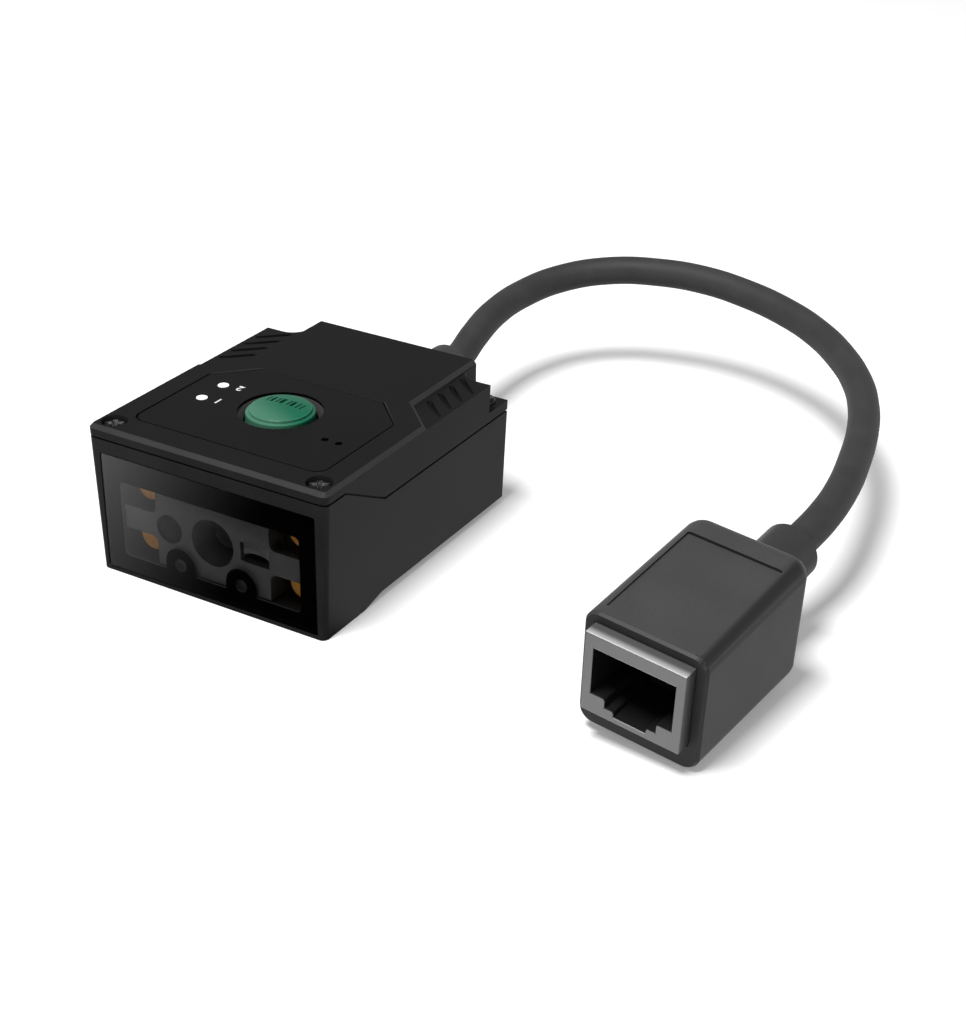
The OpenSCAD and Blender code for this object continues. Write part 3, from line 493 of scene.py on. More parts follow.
@dataclass(frozen=True)
class Glow(Finish):
    """Cast resin with fine grains in it, such as a lamp's lens or a light guide's end, with emission that
    paints a glow.
    """

    colour: Colour
    core: Colour
    glow: float = 0.0
    grain: float = 0.12 * MM
    grain_deep: float = 0.003 * MM
    cloud: float = 0.9 * MM

    def fill(self, shader: Shader) -> None:
        """Adds the nodes of this finish.

        Args:
            shader: The tree to fill.
        """
        grains = shader.noise(self.grain, 2.0)
        clouds = shader.noise(self.cloud, 2.0)
        colour = shader.blend((0.5 * grains + 0.5 * clouds).ramp(0.35, 0.65), self.colour, self.core)
        inputs = {"Base_Color": colour, "Roughness": 0.22 + 0.2 * clouds, "Emission_Color": colour}
        # Painted glow: emission on parts that no lamp in the scene lights.
        shader.surface(Emission_Strength=self.glow, Normal=shader.bump(grains, self.grain_deep), **inputs)


@dataclass(frozen=True)
class Laminate(Finish):
    """A circuit board: solder mask over a crossed pattern of tracks."""

    mask: Colour
    track: Colour
    pitch: float = 0.9 * MM
    weave: float = 0.2 * MM
    track_deep: float = 0.03 * MM

    def fill(self, shader: Shader) -> None:
        """Adds the nodes of this finish.

        Args:
            shader: The tree to fill.
        """
        waves = []
        for direction in ("X", "Y"):
            settings = {"wave_type": "BANDS", "bands_direction": direction}
            inputs = {"Vector": shader.place(), "Scale": 1.0 / self.pitch / 6.0, "Distortion": 2.0}
            waves.append(shader.add("ShaderNodeTexWave", settings, inputs, output="Fac"))
        tracks = (waves[0] * waves[1]).ramp(0.35, 0.45)
        weave = shader.noise(self.weave, 2.0)
        inputs = {
            "Base_Color": shader.blend(tracks, self.mask, self.track),
            "Roughness": 0.35 + 0.2 * weave,
            "Normal": shader.bump(tracks, self.track_deep),
        }
        shader.surface(**inputs)


# Edge colours paint a highlight on bevels where lighter than the colour, and shade where darker.
HOUSING = Moulded("housing", (0.0125, 0.0125, 0.0126), grey(0.036), 0.55, 0.14)
# The cover keeps half its colour on level faces: painted shade.
COVER = Moulded("cover", (0.0125, 0.0125, 0.0126), grey(0.036), 0.55, 0.11, deck=0.5)
PANEL = Moulded("panel", (0.0055, 0.0055, 0.0056), grey(0.03), 0.5, 0.09, Grain.SATIN)
ENGINE = Moulded("engine", (0.16, 0.16, 0.161), grey(0.18), 0.6, 0.12, Grain.SMOOTH, mottle=0.05)
LENS_BARREL = Moulded("lens_barrel", grey(0.1), grey(0.12), 0.35, 0.3, Grain.SATIN)
SWITCH = Moulded("switch", grey(0.02), grey(0.05), 0.45, 0.3, Grain.SATIN)
HEADER = Moulded("header", (0.62, 0.56, 0.42), (0.7, 0.66, 0.52), 0.45, 0.4, Grain.SATIN)
# The boot's walls and its roundings towards X take painted shade; its darker edge colour paints shade on its
# bevels.
BOOT = Moulded("boot", (0.054, 0.054, 0.055), grey(0.043), 0.5, 0.2, Grain.SATIN,
               wall=0.44, roll=0.5, mottle=0.15)
# The collar's walls take painted shade.
COLLAR = Moulded("collar", (0.038, 0.038, 0.039), grey(0.04), 0.5, 0.2, Grain.SATIN, wall=0.8, mottle=0.15)
# The button turns paler towards its front left: a painted highlight.
GREEN = Moulded("button_green", (0.005, 0.118, 0.063), (0.03, 0.19, 0.12), 0.42, 0.22, Grain.SMOOTH,
                mottle=0.06, sheen_colour=(0.06, 0.185, 0.12), sheen_slope=(-58.0, -190.0, 0.0), sheen_shift=-1.05)
PRINT = Moulded("print_white", grey(0.72), grey(0.75), 0.6, 0.3, Grain.SMOOTH)
MASK = Ink("mask", grey(0.0008))
# The engine's hollows take a darker colour than its body: painted shade, deepest on faces that look up.
HOLLOW_SHADE = Ink("engine_hollow_shade", grey(0.08), lower=0.8)
BORDER_EDGE = Ink("border_edge", grey(0.05))
# Near black for the walls of the panel's recess and the panel's sides: painted shade in the gap.
SEAM_SHADE = Ink("seam", grey(0.002))
FILTER = Ink("filter", (0.028, 0.028, 0.029), 0.4, 0.1)
PORT_DARK = Ink("port_dark", grey(0.008), 0.4, 0.1)
SCREW_BLACK = Metal("screw_black", (0.05, 0.05, 0.051), 0.34)
# Lighter metal on one side of each recess arm: a painted highlight.
SCREW_GLINT = Metal("screw_glint", grey(0.45), 0.5)
STEEL = Metal("steel", (0.55, 0.55, 0.56), 0.3)
BRASS = Metal("brass", (0.65, 0.45, 0.18), 0.28)
GOLD = Metal("gold", (0.83, 0.6, 0.24), 0.22)
CABLE = Jacket("cable", (0.038, 0.038, 0.039))
GLAND = Jacket("gland", (0.05, 0.05, 0.051))
LEADS = Jacket("leads", (0.3, 0.06, 0.05), 0.45)
FLEX = Jacket("flex", (0.42, 0.2, 0.04), 0.35)
PANE = TintedGlass("pane", grey(0.001), 0.36, 1.0, 2.13)
LENS = TintedGlass("lens", (0.01, 0.01, 0.012), 0.5)
AIMER = TintedGlass("aimer", grey(0.27), 0.9)
SENSOR_FACE = TintedGlass("sensor_face", (0.02, 0.02, 0.03), 0.85)
# Emission makes the lamp lenses and the light guides' ends glow: painted glow.
LAMP = Glow("lamp", (0.75, 0.3, 0.05), (0.9, 0.45, 0.1), 0.22)
LED = Glow("led", (0.75, 0.75, 0.7), (0.9, 0.86, 0.6))
LIGHT = Glow("light_end", grey(0.82), grey(0.95), 0.25)
BOARD = Laminate("board", (0.01, 0.09, 0.03), (0.03, 0.16, 0.05))
LAMP_BOARD = Laminate("lamp_board", (0.02, 0.02, 0.021), (0.035, 0.035, 0.036))


class Form:
    """A mesh in the making, which becomes one piece of the reader."""

    def __init__(self) -> None:
        """Starts with nothing."""
        self.bm = bmesh.new()

    @classmethod
    def of_node(cls, node: str) -> "Form":
        """Copies a node of the frame, welded and with its flat faces joined.

        Args:
            node: The node's name.

        Returns:
            The copy.
        """
        form = cls()
        form.bm.from_mesh(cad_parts[node].data)
        bmesh.ops.remove_doubles(form.bm, verts=form.bm.verts[:], dist=WELD)
        bmesh.ops.dissolve_limit(form.bm, angle_limit=FLAT, verts=form.bm.verts[:], edges=form.bm.edges[:],
                                 use_dissolve_boundaries=False)
        return form

    @classmethod
    def turned(cls, profile: tuple[tuple[float, float], ...], steps: int = 48) -> "Form":
        """Turns a profile round the upright axis.

        Args:
            profile: The radius and height of each point, from the axis to the axis.
            steps: The steps of the full turn.

        Returns:
            The closed form.
        """
        form = cls()
        knots = [form.bm.verts.new((radius, 0.0, height)) for radius, height in profile]
        lines = [form.bm.edges.new(pair) for pair in zip(knots, knots[1:])]
        bmesh.ops.spin(form.bm, geom=knots + lines, cent=(0.0, 0.0, 0.0), axis=(0.0, 0.0, 1.0),
                       angle=math.tau, steps=steps, use_merge=True)
        bmesh.ops.remove_doubles(form.bm, verts=form.bm.verts[:], dist=WELD)
        bmesh.ops.recalc_face_normals(form.bm, faces=form.bm.faces[:])
        return form

    @classmethod
    def wedge(cls, size: Point, taper: tuple[float, float], low: float) -> "Form":
        """Makes a block whose underside is narrower than its top.

        Args:
            size: The width, depth and height.
            taper: The share of the width and of the depth that the underside keeps.
            low: The height of the underside.

        Returns:
            The block.
        """
        form = cls()
        bmesh.ops.create_cube(form.bm, size=1.0)
        bmesh.ops.scale(form.bm, vec=size, verts=form.bm.verts[:])
        under = [vert for vert in form.bm.verts if vert.co.z < 0.0]
        bmesh.ops.scale(form.bm, vec=(*taper, 1.0), verts=under)
        return form.shift((0.0, 0.0, low + size[2] / 2))

    @classmethod
    def lying(cls, radius: float, length: float, steps: int = 96) -> "Form":
        """Makes a cylinder that lies along Y.

        Args:
            radius: Its radius.
            length: Its length.
            steps: The steps round it.

        Returns:
            The cylinder.
        """
        form = cls()
        bmesh.ops.create_cone(form.bm, cap_ends=True, segments=steps, radius1=radius, radius2=radius,
                              depth=length, matrix=Matrix.Rotation(math.pi / 2, 4, "X"))
        return form

    @classmethod
    def figure(cls, sign: str, height: float, depth: float) -> "Form":
        """Makes a printed figure, flat on its back and centred.

        Args:
            sign: The figure.
            height: How tall it is.
            depth: How thick the print is.

        Returns:
            The figure.
        """
        share_of_size = 0.7
        stroke_gain = 0.04 * MM
        line = bpy.data.curves.new("figure", "FONT")
        line.body = sign
        line.align_x = "CENTER"
        line.align_y = "CENTER"
        line.size = height / share_of_size
        line.extrude = depth / 2
        line.offset = stroke_gain
        made = bpy.data.objects.new("figure", line)
        form = cls()
        mesh = bpy.data.meshes.new_from_object(made)
        form.bm.from_mesh(mesh)
        bpy.data.meshes.remove(mesh)
        bpy.data.objects.remove(made)
        bpy.data.curves.remove(line)
        bmesh.ops.remove_doubles(form.bm, verts=form.bm.verts[:], dist=WELD)
        return form

    def shift(self, by: Point, turn: float = 0.0) -> "Form":
        """Turns the form about the upright axis, then moves it.

        Args:
            by: The move.
            turn: The turn, in degrees.

        Returns:
            The form itself.
        """
        bmesh.ops.rotate(self.bm, cent=(0.0, 0.0, 0.0), matrix=Matrix.Rotation(math.radians(turn), 3, "Z"),
                         verts=self.bm.verts[:])
        bmesh.ops.translate(self.bm, vec=by, verts=self.bm.verts[:])
        return self

    def join(self, other: "Form") -> "Form":
        """Takes in another form.

        Args:
            other: The other form, which is used up.

        Returns:
            The form itself.
        """
        mesh = bpy.data.meshes.new("joined")
        other.bm.to_mesh(mesh)
        other.bm.free()
        self.bm.from_mesh(mesh)
        bpy.data.meshes.remove(mesh)
        return self

    def cut(self, tool: "Form") -> "Form":
        """Cuts another form out of this one.

        Args:
            tool: The other form, which is used up.

        Returns:
            The form itself.
        """
        made = []
        for form in (self, tool):
            mesh = bpy.data.meshes.new("cut")
            form.bm.to_mesh(mesh)
            form.bm.free()
            made.append(bpy.data.objects.new("cut", mesh))
            bpy.context.scene.collection.objects.link(made[-1])
        change = made[0].modifiers.new("cut", "BOOLEAN")
        change.operation = "DIFFERENCE"
        change.solver = "EXACT"
        change.object = made[1]
        result = made[0].evaluated_get(bpy.context.evaluated_depsgraph_get())
        self.bm = bmesh.new()
        self.bm.from_mesh(result.to_mesh())
        for old in made:
            mesh = old.data
            bpy.data.objects.remove(old)
            bpy.data.meshes.remove(mesh)
        return self

    def soften(self, width: float, segments: int = 2,
               which: Callable[[bmesh.types.BMEdge], bool] = lambda edge: True) -> "Form":
        """Rounds the sharp edges.

        Args:
            width: The width of the rounding.
            segments: The steps in it.
            which: Picks among the sharp edges.

        Returns:
            The form itself.
        """
        edges = [edge for edge in self.bm.edges
                 if edge.is_manifold and edge.calc_face_angle() > SHARP and which(edge)]
        bmesh.ops.bevel(self.bm, geom=edges, offset=width, offset_type="OFFSET", segments=segments,
                        profile=0.5, affect="EDGES", clamp_overlap=True, material=-1)
        return self

    def piece(self, name: str, finish: Finish, slot: str, nodes: tuple[str, ...] = (), body: str = "reader",
              other: Finish | None = None, where: Callable[[Vector], bool] | None = None) -> bpy.types.Object:
        """Makes the piece, with creases where the faces turn sharply.

        Args:
            name: The piece's name.
            finish: Its finish.
            slot: The record's slot for its finish; not used.
            nodes: The nodes that it stands for.
            body: The body that it moves with.
            other: A second finish.
            where: Tells from a face's middle whether the face takes the second finish.

        Returns:
            The piece.
        """
        for face in self.bm.faces:
            face.smooth = True
            face.material_index = int(where is not None and where(face.calc_center_median()))
        for edge in self.bm.edges:
            edge.smooth = edge.is_manifold and edge.calc_face_angle() < CREASE
        mesh = bpy.data.meshes.new(name)
        self.bm.to_mesh(mesh)
        self.bm.free()
        made = bpy.data.objects.new(name, mesh)
        bpy.context.scene.collection.objects.link(made)
        mesh.materials.append(finish.material())
        if other is not None:
            mesh.materials.append(other.material())
        made.modifiers.new("even_normals", "WEIGHTED_NORMAL").keep_sharp = True
        register(made, nodes, body)
        return made


def register(piece: bpy.types.Object, nodes: tuple[str, ...] = (), body: str = "reader") -> None:
    """Ties a piece to its body and its nodes, and reports it.

    Args:
        piece: The piece.
        nodes: The nodes that it stands for.
        body: The body that it moves with.
    """
    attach(piece, body)
    if nodes:
        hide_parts(*nodes)
    LOG.info("%s rides on %s", piece.name, body)


def dress(finishes: dict[str, Finish]) -> None:
    """Gives nodes of the frame their finishes.

    Args:
        finishes: The finish of each node.
    """
    for node, finish in finishes.items():
        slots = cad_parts[node].data.materials
        slots.clear()
        slots.append(finish.material())
        LOG.info("%s is dressed as %s", node, finish.name)


@dataclass
class Studio:
    """The camera of the photograph, a white floor and soft light."""

    stand: Point = (0.149341, -0.204964, 0.140444)
    right: Point = (0.86135, 0.50776, 0.0163)
    upward: Point = (-0.25374, 0.40219, 0.87969)
    back: Point = (0.44011, -0.76186, 0.47526)
    focal_pixels: float = 1862.776
    floor_half: float = 4.0
    floor_white: float = 0.9
    floor_lift: float = 0.2
    floor_drop: float = 0.02 * MM
    # Where the dark patch of the painted reflection lies on the floor.
    reflection_slope: Point = (-26.7, 12.9, 0.0)
    reflection_shift: float = 0.411
    reflection_right: tuple[float, float] = (0.035, 0.05)
    reflection_behind: tuple[float, float] = (-0.024, -0.016)
    key_from: Point = (-0.055, -0.36, 1.0)
    key_distance: float = 1.1
    key_side: float = 0.34
    key_power: float = 13.0
    sky_low: float = 0.85
    sky_high: float = 0.3
    sky_band: tuple[float, float] = (0.1, 0.45)

    def shoot(self) -> None:
        """Sets up the camera."""
        lens = bpy.data.cameras.new("camera")
        lens.sensor_width = SENSOR
        lens.lens = self.focal_pixels * SENSOR / IMAGE_LONG_SIDE
        lens.clip_start = 1.0 * MM
        camera = bpy.data.objects.new("camera", lens)
        turn = Matrix((self.right, self.upward, self.back)).transposed()
        camera.matrix_world = Matrix.Translation(self.stand) @ turn.to_4x4()
        bpy.context.scene.collection.objects.link(camera)
        bpy.context.scene.camera = camera
        bpy.context.scene.view_settings.view_transform = "Standard"

    def lay_floor(self) -> None:
        """Lays a matt floor, white outside the shadows, with a painted reflection: a dark patch that only
        polished faces see.
        """
        bm = bmesh.new()
        bmesh.ops.create_grid(bm, x_segments=1, y_segments=1, size=self.floor_half)
        mesh = bpy.data.meshes.new("floor")
        bm.to_mesh(mesh)
        bm.free()
        floor = bpy.data.objects.new("floor", mesh)
        floor.location.z = -self.floor_drop
        bpy.context.scene.collection.objects.link(floor)
        made = bpy.data.materials.new("floor_white")
        shader = Shader(made)
        matt = shader.add("ShaderNodeBsdfDiffuse", inputs={"Color": (*grey(self.floor_white), 1.0)})
        bright = shader.add("ShaderNodeEmission", inputs={"Strength": 1.0})
        dark = shader.add("ShaderNodeEmission", inputs={"Strength": 0.0})
        seen = shader.add("ShaderNodeLightPath", output="Is Camera Ray")
        seen = seen + shader.add("ShaderNodeLightPath", output="Is Transmission Ray")
        lift = shader.add("ShaderNodeMixShader", inputs={0: self.floor_lift * seen, 1: dark, 2: bright})
        plain = shader.add("ShaderNodeAddShader", inputs={0: matt, 1: lift})
        # Glossy rays see a painted reflection: white that fades to a dark patch in front of the window.
        mirrored = shader.add("ShaderNodeMixShader", inputs={0: self._painted_reflection(shader), 1: dark, 2: bright})
        gloss = shader.add("ShaderNodeLightPath", output="Is Glossy Ray")
        both = shader.add("ShaderNodeMixShader", inputs={0: gloss, 1: plain, 2: mirrored})
        shader.add("ShaderNodeOutputMaterial", inputs={"Surface": both})
        mesh.materials.append(made)

    def _painted_reflection(self, shader: Shader) -> Sock:
        """Fades from the white floor, 1, to the painted reflection's dark patch in front of the window, 0.

        Args:
            shader: The floor's tree.

        Returns:
            The share of white.
        """
        level = shader.along(self.reflection_slope) + self.reflection_shift
        near = shader.add("ShaderNodeClamp", inputs={"Value": level})
        right = shader.axis("X").ramp(*self.reflection_right)
        behind = shader.axis("Y").ramp(*self.reflection_behind)
        return 1.0 - (1.0 - near * near) * (1.0 - right) * (1.0 - behind)

    def hang_lamp(self) -> None:
        """Hangs a square lamp that looks at the middle of the floor."""
        toward = Vector(self.key_from).normalized()
        lamp = bpy.data.lights.new("key", "AREA")
        lamp.size = self.key_side
        lamp.energy = self.key_power
        hung = bpy.data.objects.new("key", lamp)
        turn = toward.to_track_quat("Z", "Y").to_matrix().to_4x4()
        hung.matrix_world = Matrix.Translation(toward * self.key_distance) @ turn
        bpy.context.scene.collection.objects.link(hung)

    def make_sky(self) -> None:
        """Makes a sky that is pale at the horizon and darker above."""
        world = bpy.data.worlds.new("sky")
        bpy.context.scene.world = world
        shader = Shader(world)
        ray = shader.add("ShaderNodeTexCoord", output="Generated")
        height = shader.add("ShaderNodeSeparateXYZ", inputs={0: ray}, output="Z")
        level = height.ramp(*self.sky_band, self.sky_low, self.sky_high)
        sky = shader.add("ShaderNodeBackground", inputs={"Strength": level})
        shader.add("ShaderNodeOutputWorld", inputs={"Surface": sky})


@dataclass
class Cord:
    """The cable from the rear gland to the socket, with the gland."""

    diameter: float = 5.0 * MM
    length: float = 0.16
    steps: int = 8
    gland_edge: float = 0.15 * MM
    route: tuple[Point, ...] = (
        (0.0, 0.0415, 0.0125), (-0.0005, 0.046, 0.013), (-0.001, 0.051, 0.0145), (-0.0015, 0.059, 0.016),
        (-0.0005, 0.0675, 0.017), (0.003, 0.0755, 0.018), (0.0095, 0.081, 0.019), (0.018, 0.084, 0.0195),
        (0.0265, 0.085, 0.0195), (0.0355, 0.084, 0.019), (0.044, 0.081, 0.0185), (0.0515, 0.0765, 0.018),
        (0.058, 0.0705, 0.0175), (0.0635, 0.0635, 0.017), (0.0675, 0.056, 0.0165), (0.0705, 0.0475, 0.016),
        (0.0725, 0.039, 0.0155), (0.074, 0.03, 0.015), (0.0744, 0.0215, 0.0144), (0.0735, 0.0125, 0.0133),
    )

    def build(self, ends: list[bpy.types.Object]) -> None:
        """Lays the cable.

        Args:
            ends: The pieces on the cable; not used.
        """
        line = bpy.data.curves.new("cable_line", "CURVE")
        line.dimensions = "3D"
        line.bevel_depth = self.diameter / 2
        line.bevel_resolution = self.steps
        line.resolution_u = self.steps
        line.use_fill_caps = True
        spline = line.splines.new("BEZIER")
        spline.bezier_points.add(len(self.route) - 1)
        for knot, point in zip(spline.bezier_points, self.route):
            knot.co = point
            knot.handle_left_type = knot.handle_right_type = "AUTO"
        line.materials.append(CABLE.material())
        cable = bpy.data.objects.new("cable_jacket", line)
        bpy.context.scene.collection.objects.link(cable)
        register(cable, ("cable",))

    def build_gland(self) -> bpy.types.Object:
        """Makes the gland with eased edges."""
        gland = Form.of_node("cable_gland").soften(self.gland_edge)
        return gland.piece("gland", GLAND, "cable_rubber", ("cable_gland",))


@dataclass
class Socket:
    """The network socket on the cable's end: boot, jack and contacts.

    Its own frame starts at the collar's end, with Y towards the cable.
    """

    collar: Point = (0.0735, 0.0125, 0.0133)
    turn: Point = (5.5, 4.5, -5.4)
    side: float = -0.5 * MM
    front: float = -38.6 * MM
    half: float = 8.0 * MM
    back: float = -11.0 * MM
    lip: float = 0.45 * MM
    lip_half: float = 0.11 * MM
    lip_deep: float = 0.11 * MM
    jack_front: float = -40.8 * MM
    port_half: float = 6.2 * MM
    port_low: float = -4.3 * MM
    port_high: float = 5.6 * MM
    edge: float = 0.15 * MM
    jack_edge: float = 0.2 * MM
    shield_face: Colour = grey(0.205)
    # The jack's upward faces take this pale grey as a painted highlight.
    shield_top_light: Colour = grey(0.75)
    rim: float = 0.05 * MM

    def frame(self) -> Matrix:
        """Where the socket's own frame lies."""
        turn = Euler([math.radians(angle) for angle in self.turn], "XYZ")
        return Matrix.Translation(self.collar) @ turn.to_matrix().to_4x4()

    def build(self) -> list[bpy.types.Object]:
        """Makes the boot and the jack, and dresses the contacts.

        Returns:
            The pieces of the socket.
        """
        within = self.frame().inverted()
        boot = self._lip(Form.of_node("socket_boot").soften(self.edge), within)
        jack = Form.of_node("jack_body").soften(self.jack_edge)
        root = self.frame() @ Vector((0.0, self.front, 0.0))
        along = -self.frame().to_3x3().col[1]
        shield = Sheet("jack_shield", self.shield_face, self.shield_top_light, tuple(root), tuple(along),
                       self.front - self.jack_front)
        made = [
            boot.piece("boot", BOOT, "boot_plastic", ("socket_boot",), other=COLLAR,
                       where=lambda middle: (within @ middle).y > self.back),
            jack.piece("jack", shield, "jack_grey", ("jack_body",), other=PORT_DARK,
                       where=lambda middle: self._in_port(within @ middle)),
        ]
        dress({"jack_contacts": GOLD})
        return [*made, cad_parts["jack_contacts"]]

    def _lip(self, boot: Form, within: Matrix) -> Form:
        """Presses a fine groove into the boot behind its front edge.

        Args:
            boot: The boot.
            within: Leads into the socket's frame.

        Returns:
            The boot.
        """
        outward = self.frame()
        bm = boot.bm
        for step in (-self.lip_half, 0.0, self.lip_half):
            level = outward @ Vector((0.0, self.front + self.lip + step, 0.0))
            geometry = bm.verts[:] + bm.edges[:] + bm.faces[:]
            bmesh.ops.bisect_plane(bm, geom=geometry, dist=WELD, plane_co=level,
                                   plane_no=outward.to_3x3().col[1])
        bm.normal_update()
        for vert in bm.verts:
            spot = within @ vert.co
            outer = max(abs(spot.x - self.side), abs(spot.z)) > self.half
            if outer and abs(spot.y - self.front - self.lip) < NEAR:
                vert.co -= self.lip_deep * vert.normal
        return boot

    def _in_port(self, spot: Vector) -> bool:
        """Tells whether a point of the socket's frame lies on the plug opening's walls."""
        inside = abs(spot.x - self.side) < self.port_half and self.port_low < spot.z < self.port_high
        return inside and spot.y > self.jack_front + self.rim


@dataclass
class Housing:
    """The two shells, the top panel with its printed figures, the screws and the inserts."""

    edge: float = 0.12 * MM
    panel_edge: float = 0.07 * MM
    rear_edge: float = 0.22 * MM
    seam: float = 0.4 * MM
    seam_under: float = 0.1 * MM
    seam_top: float = 0.2 * MM
    panel_top: float = 0.1 * MM
    slant: float = 0.3
    button_clear: float = 9.0 * MM
    screw_spots: tuple[Point, ...] = (
        (17.95 * MM, -22.05 * MM, 0.0), (-17.95 * MM, -22.05 * MM, 0.0),
        (17.95 * MM, 22.05 * MM, 0.0), (-17.95 * MM, 22.05 * MM, 0.0),
    )
    screw_turns: tuple[float, ...] = (31.0, 34.0, 15.0, 70.0)
    screw_profile: tuple[tuple[float, float], ...] = (
        (0.0, -4.4), (0.7, -4.4), (0.9, -4.2), (0.9, 0.0), (1.8, 0.0), (1.8, 0.45), (1.7, 0.66), (1.45, 0.8),
        (1.0, 0.88), (0.0, 0.9),
    )
    cross: Point = (2.5 * MM, 0.85 * MM, 0.85 * MM)
    cross_low: float = 0.12 * MM
    cross_taper: tuple[float, float] = (0.45, 0.4)
    screw_reach: float = 2.5 * MM
    figures: tuple[tuple[str, str, float, float], ...] = (
        ("figure_one", "1", -9.6 * MM, -8.55 * MM), ("figure_two", "2", -9.6 * MM, -3.25 * MM),
    )
    figure_tall: float = 1.5 * MM
    print_deep: float = 0.02 * MM

    def build(self) -> None:
        """Makes the shells with eased edges, the screws and the print, and dresses the inserts."""
        base = Form.of_node("base_housing").soften(self.edge)
        base.piece("base_shell", HOUSING, "housing_black", ("base_housing",))
        low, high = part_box("top_overlay")
        button = sum(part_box("scan_button"), Vector()) / 2
        cover = Form.of_node("top_cover")
        cover.soften(self.rear_edge, which=lambda edge: self._behind_panel(edge, low, high)).soften(self.edge)
        # The recess walls round the panel take painted shade.
        cover.piece("cover_shell", COVER, "cover_black", ("top_cover",), other=SEAM_SHADE,
                    where=lambda middle: self._in_seam(middle, low, high, button))
        panel = Form.of_node("top_overlay").soften(self.panel_edge)
        # The panel's sides take painted shade.
        panel.piece("top_panel", PANEL, "overlay_black", ("top_overlay",), other=SEAM_SHADE,
                    where=lambda middle: middle.z < high.z - self.panel_top)
        seats = self._seats()
        screws = self._screws(seats)
        # One side of each recess arm takes lighter metal: a painted highlight.
        screws.piece("case_screws", SCREW_BLACK, "screw_black", ("cover_screws",), other=SCREW_GLINT,
                     where=lambda middle: self._on_glint_facet(middle, seats))
        for name, sign, across, along in self.figures:
            mark = Form.figure(sign, self.figure_tall, self.print_deep).shift((across, along, high.z), 180.0)
            mark.piece(name, PRINT, "light_white")
        dress({"mount_inserts": BRASS})

    def _behind_panel(self, edge: bmesh.types.BMEdge, low: Vector, high: Vector) -> bool:
        """Picks the rear edges of the panel's recess.

        Args:
            edge: An edge of the cover.
            low: The panel's lowest corner.
            high: The panel's highest corner.

        Returns:
            Whether the edge is one of them.
        """
        middle = (edge.verts[0].co + edge.verts[1].co) / 2
        across = abs((edge.verts[0].co - edge.verts[1].co).normalized().x) > self.slant
        wide = low.x - self.seam < middle.x < high.x + self.seam
        return across and wide and 0.0 < middle.y < high.y + self.seam and middle.z > high.z

    def _in_seam(self, middle: Vector, low: Vector, high: Vector, button: Vector) -> bool:
        """Tells whether a face of the cover lies in the panel's recess, away from the button, where it takes
        painted shade.

        Args:
            middle: The face's middle.
            low: The panel's lowest corner.
            high: The panel's highest corner.
            button: The button's middle.

        Returns:
            Whether it lies there.
        """
        wide = low.x - self.seam < middle.x < high.x + self.seam
        deep = low.y - self.seam < middle.y < high.y + self.seam
        sunk = low.z - self.seam_under < middle.z < high.z - self.seam_top
        return wide and deep and sunk and (middle.xy - button.xy).length > self.button_clear

    def _screws(self, seats: list[float]) -> Form:
        """Turns the four screws and cuts their cross recesses.

        Args:
            seats: The height under each head.

        Returns:
            The screws.
        """
        profile = tuple((radius * MM, height * MM) for radius, height in self.screw_profile)
        every = Form()
        for spot, turn, seat in zip(self.screw_spots, self.screw_turns, seats):
            screw = Form.turned(profile)
            for across in (0.0, 90.0):
                arm = Form.wedge(self.cross, self.cross_taper, self.cross_low)
                screw.cut(arm.shift((0.0, 0.0, 0.0), across))
            every.join(screw.shift((spot[0], spot[1], seat), turn))
        return every

    def _seats(self) -> list[float]:
        """Reads from the frame where the screws' heads sit.

        Returns:
            The height under each head.
        """
        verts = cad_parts["cover_screws"].data.vertices
        head = max(height for _, height in self.screw_profile) * MM
        seats = []
        for spot in self.screw_spots:
            near = [vert.co.z for vert in verts if (vert.co.xy - Vector(spot).xy).length < self.screw_reach]
            seats.append(max(near) - head)
        return seats

    def _on_glint_facet(self, middle: Vector, seats: list[float]) -> bool:
        """Tells whether a face lies where a screw's recess takes lighter metal as a painted highlight.

        Args:
            middle: The face's middle.
            seats: The height under each head.

        Returns:
            Whether it lies there.
        """
        long, wide, tall = self.cross
        for spot, turn, seat in zip(self.screw_spots, self.screw_turns, seats):
            offset = middle - Vector((spot[0], spot[1], seat))
            place = Matrix.Rotation(math.radians(-turn), 3, "Z") @ offset
            across = wide / 2 < abs(place.x) < long / 2 and wide / 10 < place.y < wide / 2
            if across and self.cross_low < place.z < self.cross_low + tall:
                return True
        return False


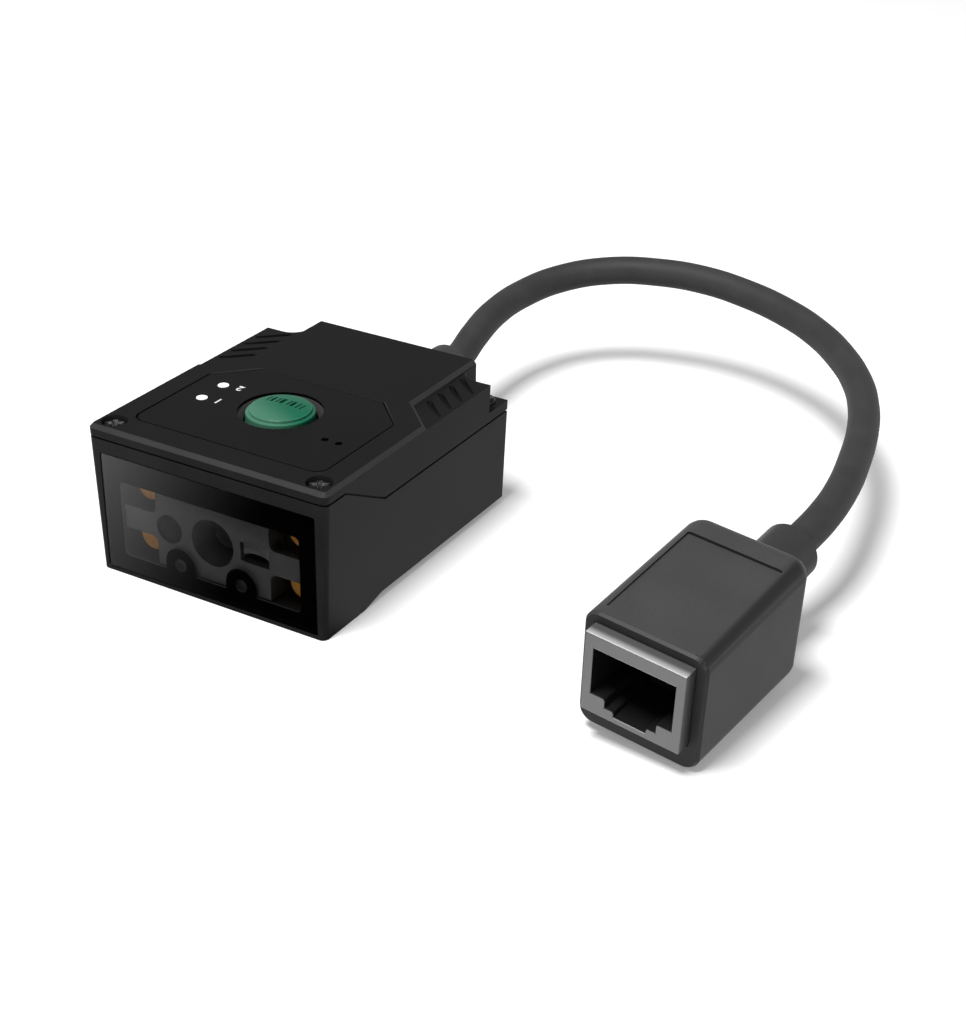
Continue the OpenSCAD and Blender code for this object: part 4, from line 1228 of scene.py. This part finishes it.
@dataclass
class ScanButton:
    """The green button with its pressed mark, and its plunger.

    The profile gives radii and heights below the top, and the bars their places and widths, all in mm.
    """

    profile: tuple[tuple[float, float], ...] = (
        (0.0, -5.7), (1.6, -5.7), (1.6, -3.9), (6.5, -3.9), (6.5, -3.1), (5.2, -3.1), (5.2, -1.1),
        (5.12, -0.94), (4.98, -0.88), (4.74, -0.88), (4.66, -0.84), (4.64, -0.5), (4.6, -0.43),
        (4.5, -0.385), (3.6, -0.25), (2.4, -0.11), (1.2, -0.028), (0.0, 0.0),
    )
    steps: int = 72
    bars: tuple[tuple[float, float], ...] = (
        (-3.3, 0.3), (-2.5, 0.6), (-1.6, 0.3), (-0.8, 0.8), (0.3, 0.3), (1.0, 0.6), (1.9, 0.3), (2.6, 0.3),
    )
    bar_long: float = 1.9 * MM
    bar_deep: float = 0.45 * MM
    bar_tall: float = 1.0 * MM
    bar_taper: tuple[float, float] = (0.7, 0.9)
    bar_middle: tuple[float, float] = (0.3 * MM, 1.5 * MM)

    def build(self) -> None:
        """Turns the button, with its stepped ring, and presses a row of bars into its dome."""
        low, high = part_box("scan_button")
        middle = (low + high) / 2
        profile = tuple((radius * MM, height * MM) for radius, height in self.profile)
        button = Form.turned(profile, self.steps)
        for across, width in self.bars:
            bar = Form.wedge((width * MM, self.bar_long, self.bar_tall), self.bar_taper, -self.bar_deep)
            button.cut(bar.shift((self.bar_middle[0] + across * MM, self.bar_middle[1], 0.0)))
        button.shift((middle.x, middle.y, high.z))
        button.piece("green_button", GREEN, "button_green", ("scan_button",), "button")
        dress({"switch_plunger": STEEL})


@dataclass
class Window:
    """The pane and its printed border."""

    edge: float = 0.06 * MM

    def build(self) -> None:
        """Makes the pane with eased, dark edges and the border with paler cut edges."""
        front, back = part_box("front_window")
        glass = Form.of_node("front_window").soften(self.edge)
        glass.piece("pane", PANE, "window_glass", ("front_window",), other=MASK,
                    where=lambda middle: front.y + WELD < middle.y < back.y - WELD)
        low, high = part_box("window_mask")
        border = Form.of_node("window_mask")
        border.piece("window_border", MASK, "mask_black", ("window_mask",), other=BORDER_EDGE,
                     where=lambda middle: low.y + WELD < middle.y < high.y - WELD)


@dataclass
class Inside:
    """The imaging engine and the boards behind the glass."""

    edge: float = 0.08 * MM
    slot: Point = (5.05 * MM, 4.4 * MM, 3.0 * MM)
    slot_middle: tuple[float, float] = (6.92 * MM, 9.15 * MM)
    aimer: Point = (4.75 * MM, 1.6 * MM, 2.2 * MM)
    aimer_back: float = 0.6 * MM
    arch: float = 5.3 * MM
    arch_rise: float = 0.55 * MM

    def build(self) -> None:
        """Makes the engine's body with painted shade in its hollows and the aimer's lens, and dresses the
        other parts.
        """
        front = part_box("engine_chassis")[0].y
        across, height = self.slot_middle
        body = Form.of_node("engine_chassis").soften(self.edge)
        slot = Form.wedge(self.slot, (1.0, 1.0), height - self.slot[2] / 2)
        body.cut(slot.shift((across, front, 0.0)))
        self._aimer(front)
        # Faces behind the engine's front take painted shade.
        body.piece("engine_body", ENGINE, "engine_grey", ("engine_chassis",), other=HOLLOW_SHADE,
                   where=lambda middle: middle.y > front + self.edge)
        dress({
            "lens_barrel": LENS_BARREL, "lens_glass": LENS, "round_filter": FILTER,
            "lamp_board": LAMP_BOARD, "lamps": LAMP, "sensor_board": BOARD, "image_sensor": SENSOR_FACE,
            "engine_screws": STEEL, "main_board": BOARD, "board_screws": STEEL, "sensor_flex": FLEX,
            "cable_header": HEADER, "inner_leads": LEADS, "tact_switch": SWITCH, "light_guides": LIGHT,
            "status_leds": LED, "buzzer": SWITCH,
        })

    def _aimer(self, front: float) -> None:
        """Makes the aimer's lens, with an arched underside, in the upper part of its slot.

        Args:
            front: Where the engine's face lies.
        """
        across, height = self.slot_middle
        low = height + self.slot[2] / 2 - self.aimer[2] - self.edge
        back = front + self.aimer_back + self.aimer[1] / 2
        lens = Form.wedge(self.aimer, (1.0, 1.0), low).shift((across, back, 0.0))
        arch = Form.lying(self.arch, 2.0 * self.aimer[1])
        lens.cut(arch.shift((across, back, low + self.arch_rise - self.arch)))
        lens.soften(self.edge).piece("aimer_glass", AIMER, "lens_glass", ("aimer_lens",))


def main() -> None:
    """Builds the scene in order."""
    logging.basicConfig(level=logging.INFO, format="%(message)s")
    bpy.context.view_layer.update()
    studio = Studio()
    studio.shoot()
    cord = Cord()
    gland = cord.build_gland()
    cord.build([gland, *Socket().build()])
    Housing().build()
    ScanButton().build()
    Window().build()
    Inside().build()
    studio.lay_floor()
    studio.hang_lamp()
    studio.make_sky()


if __name__ == "__main__":
    main()
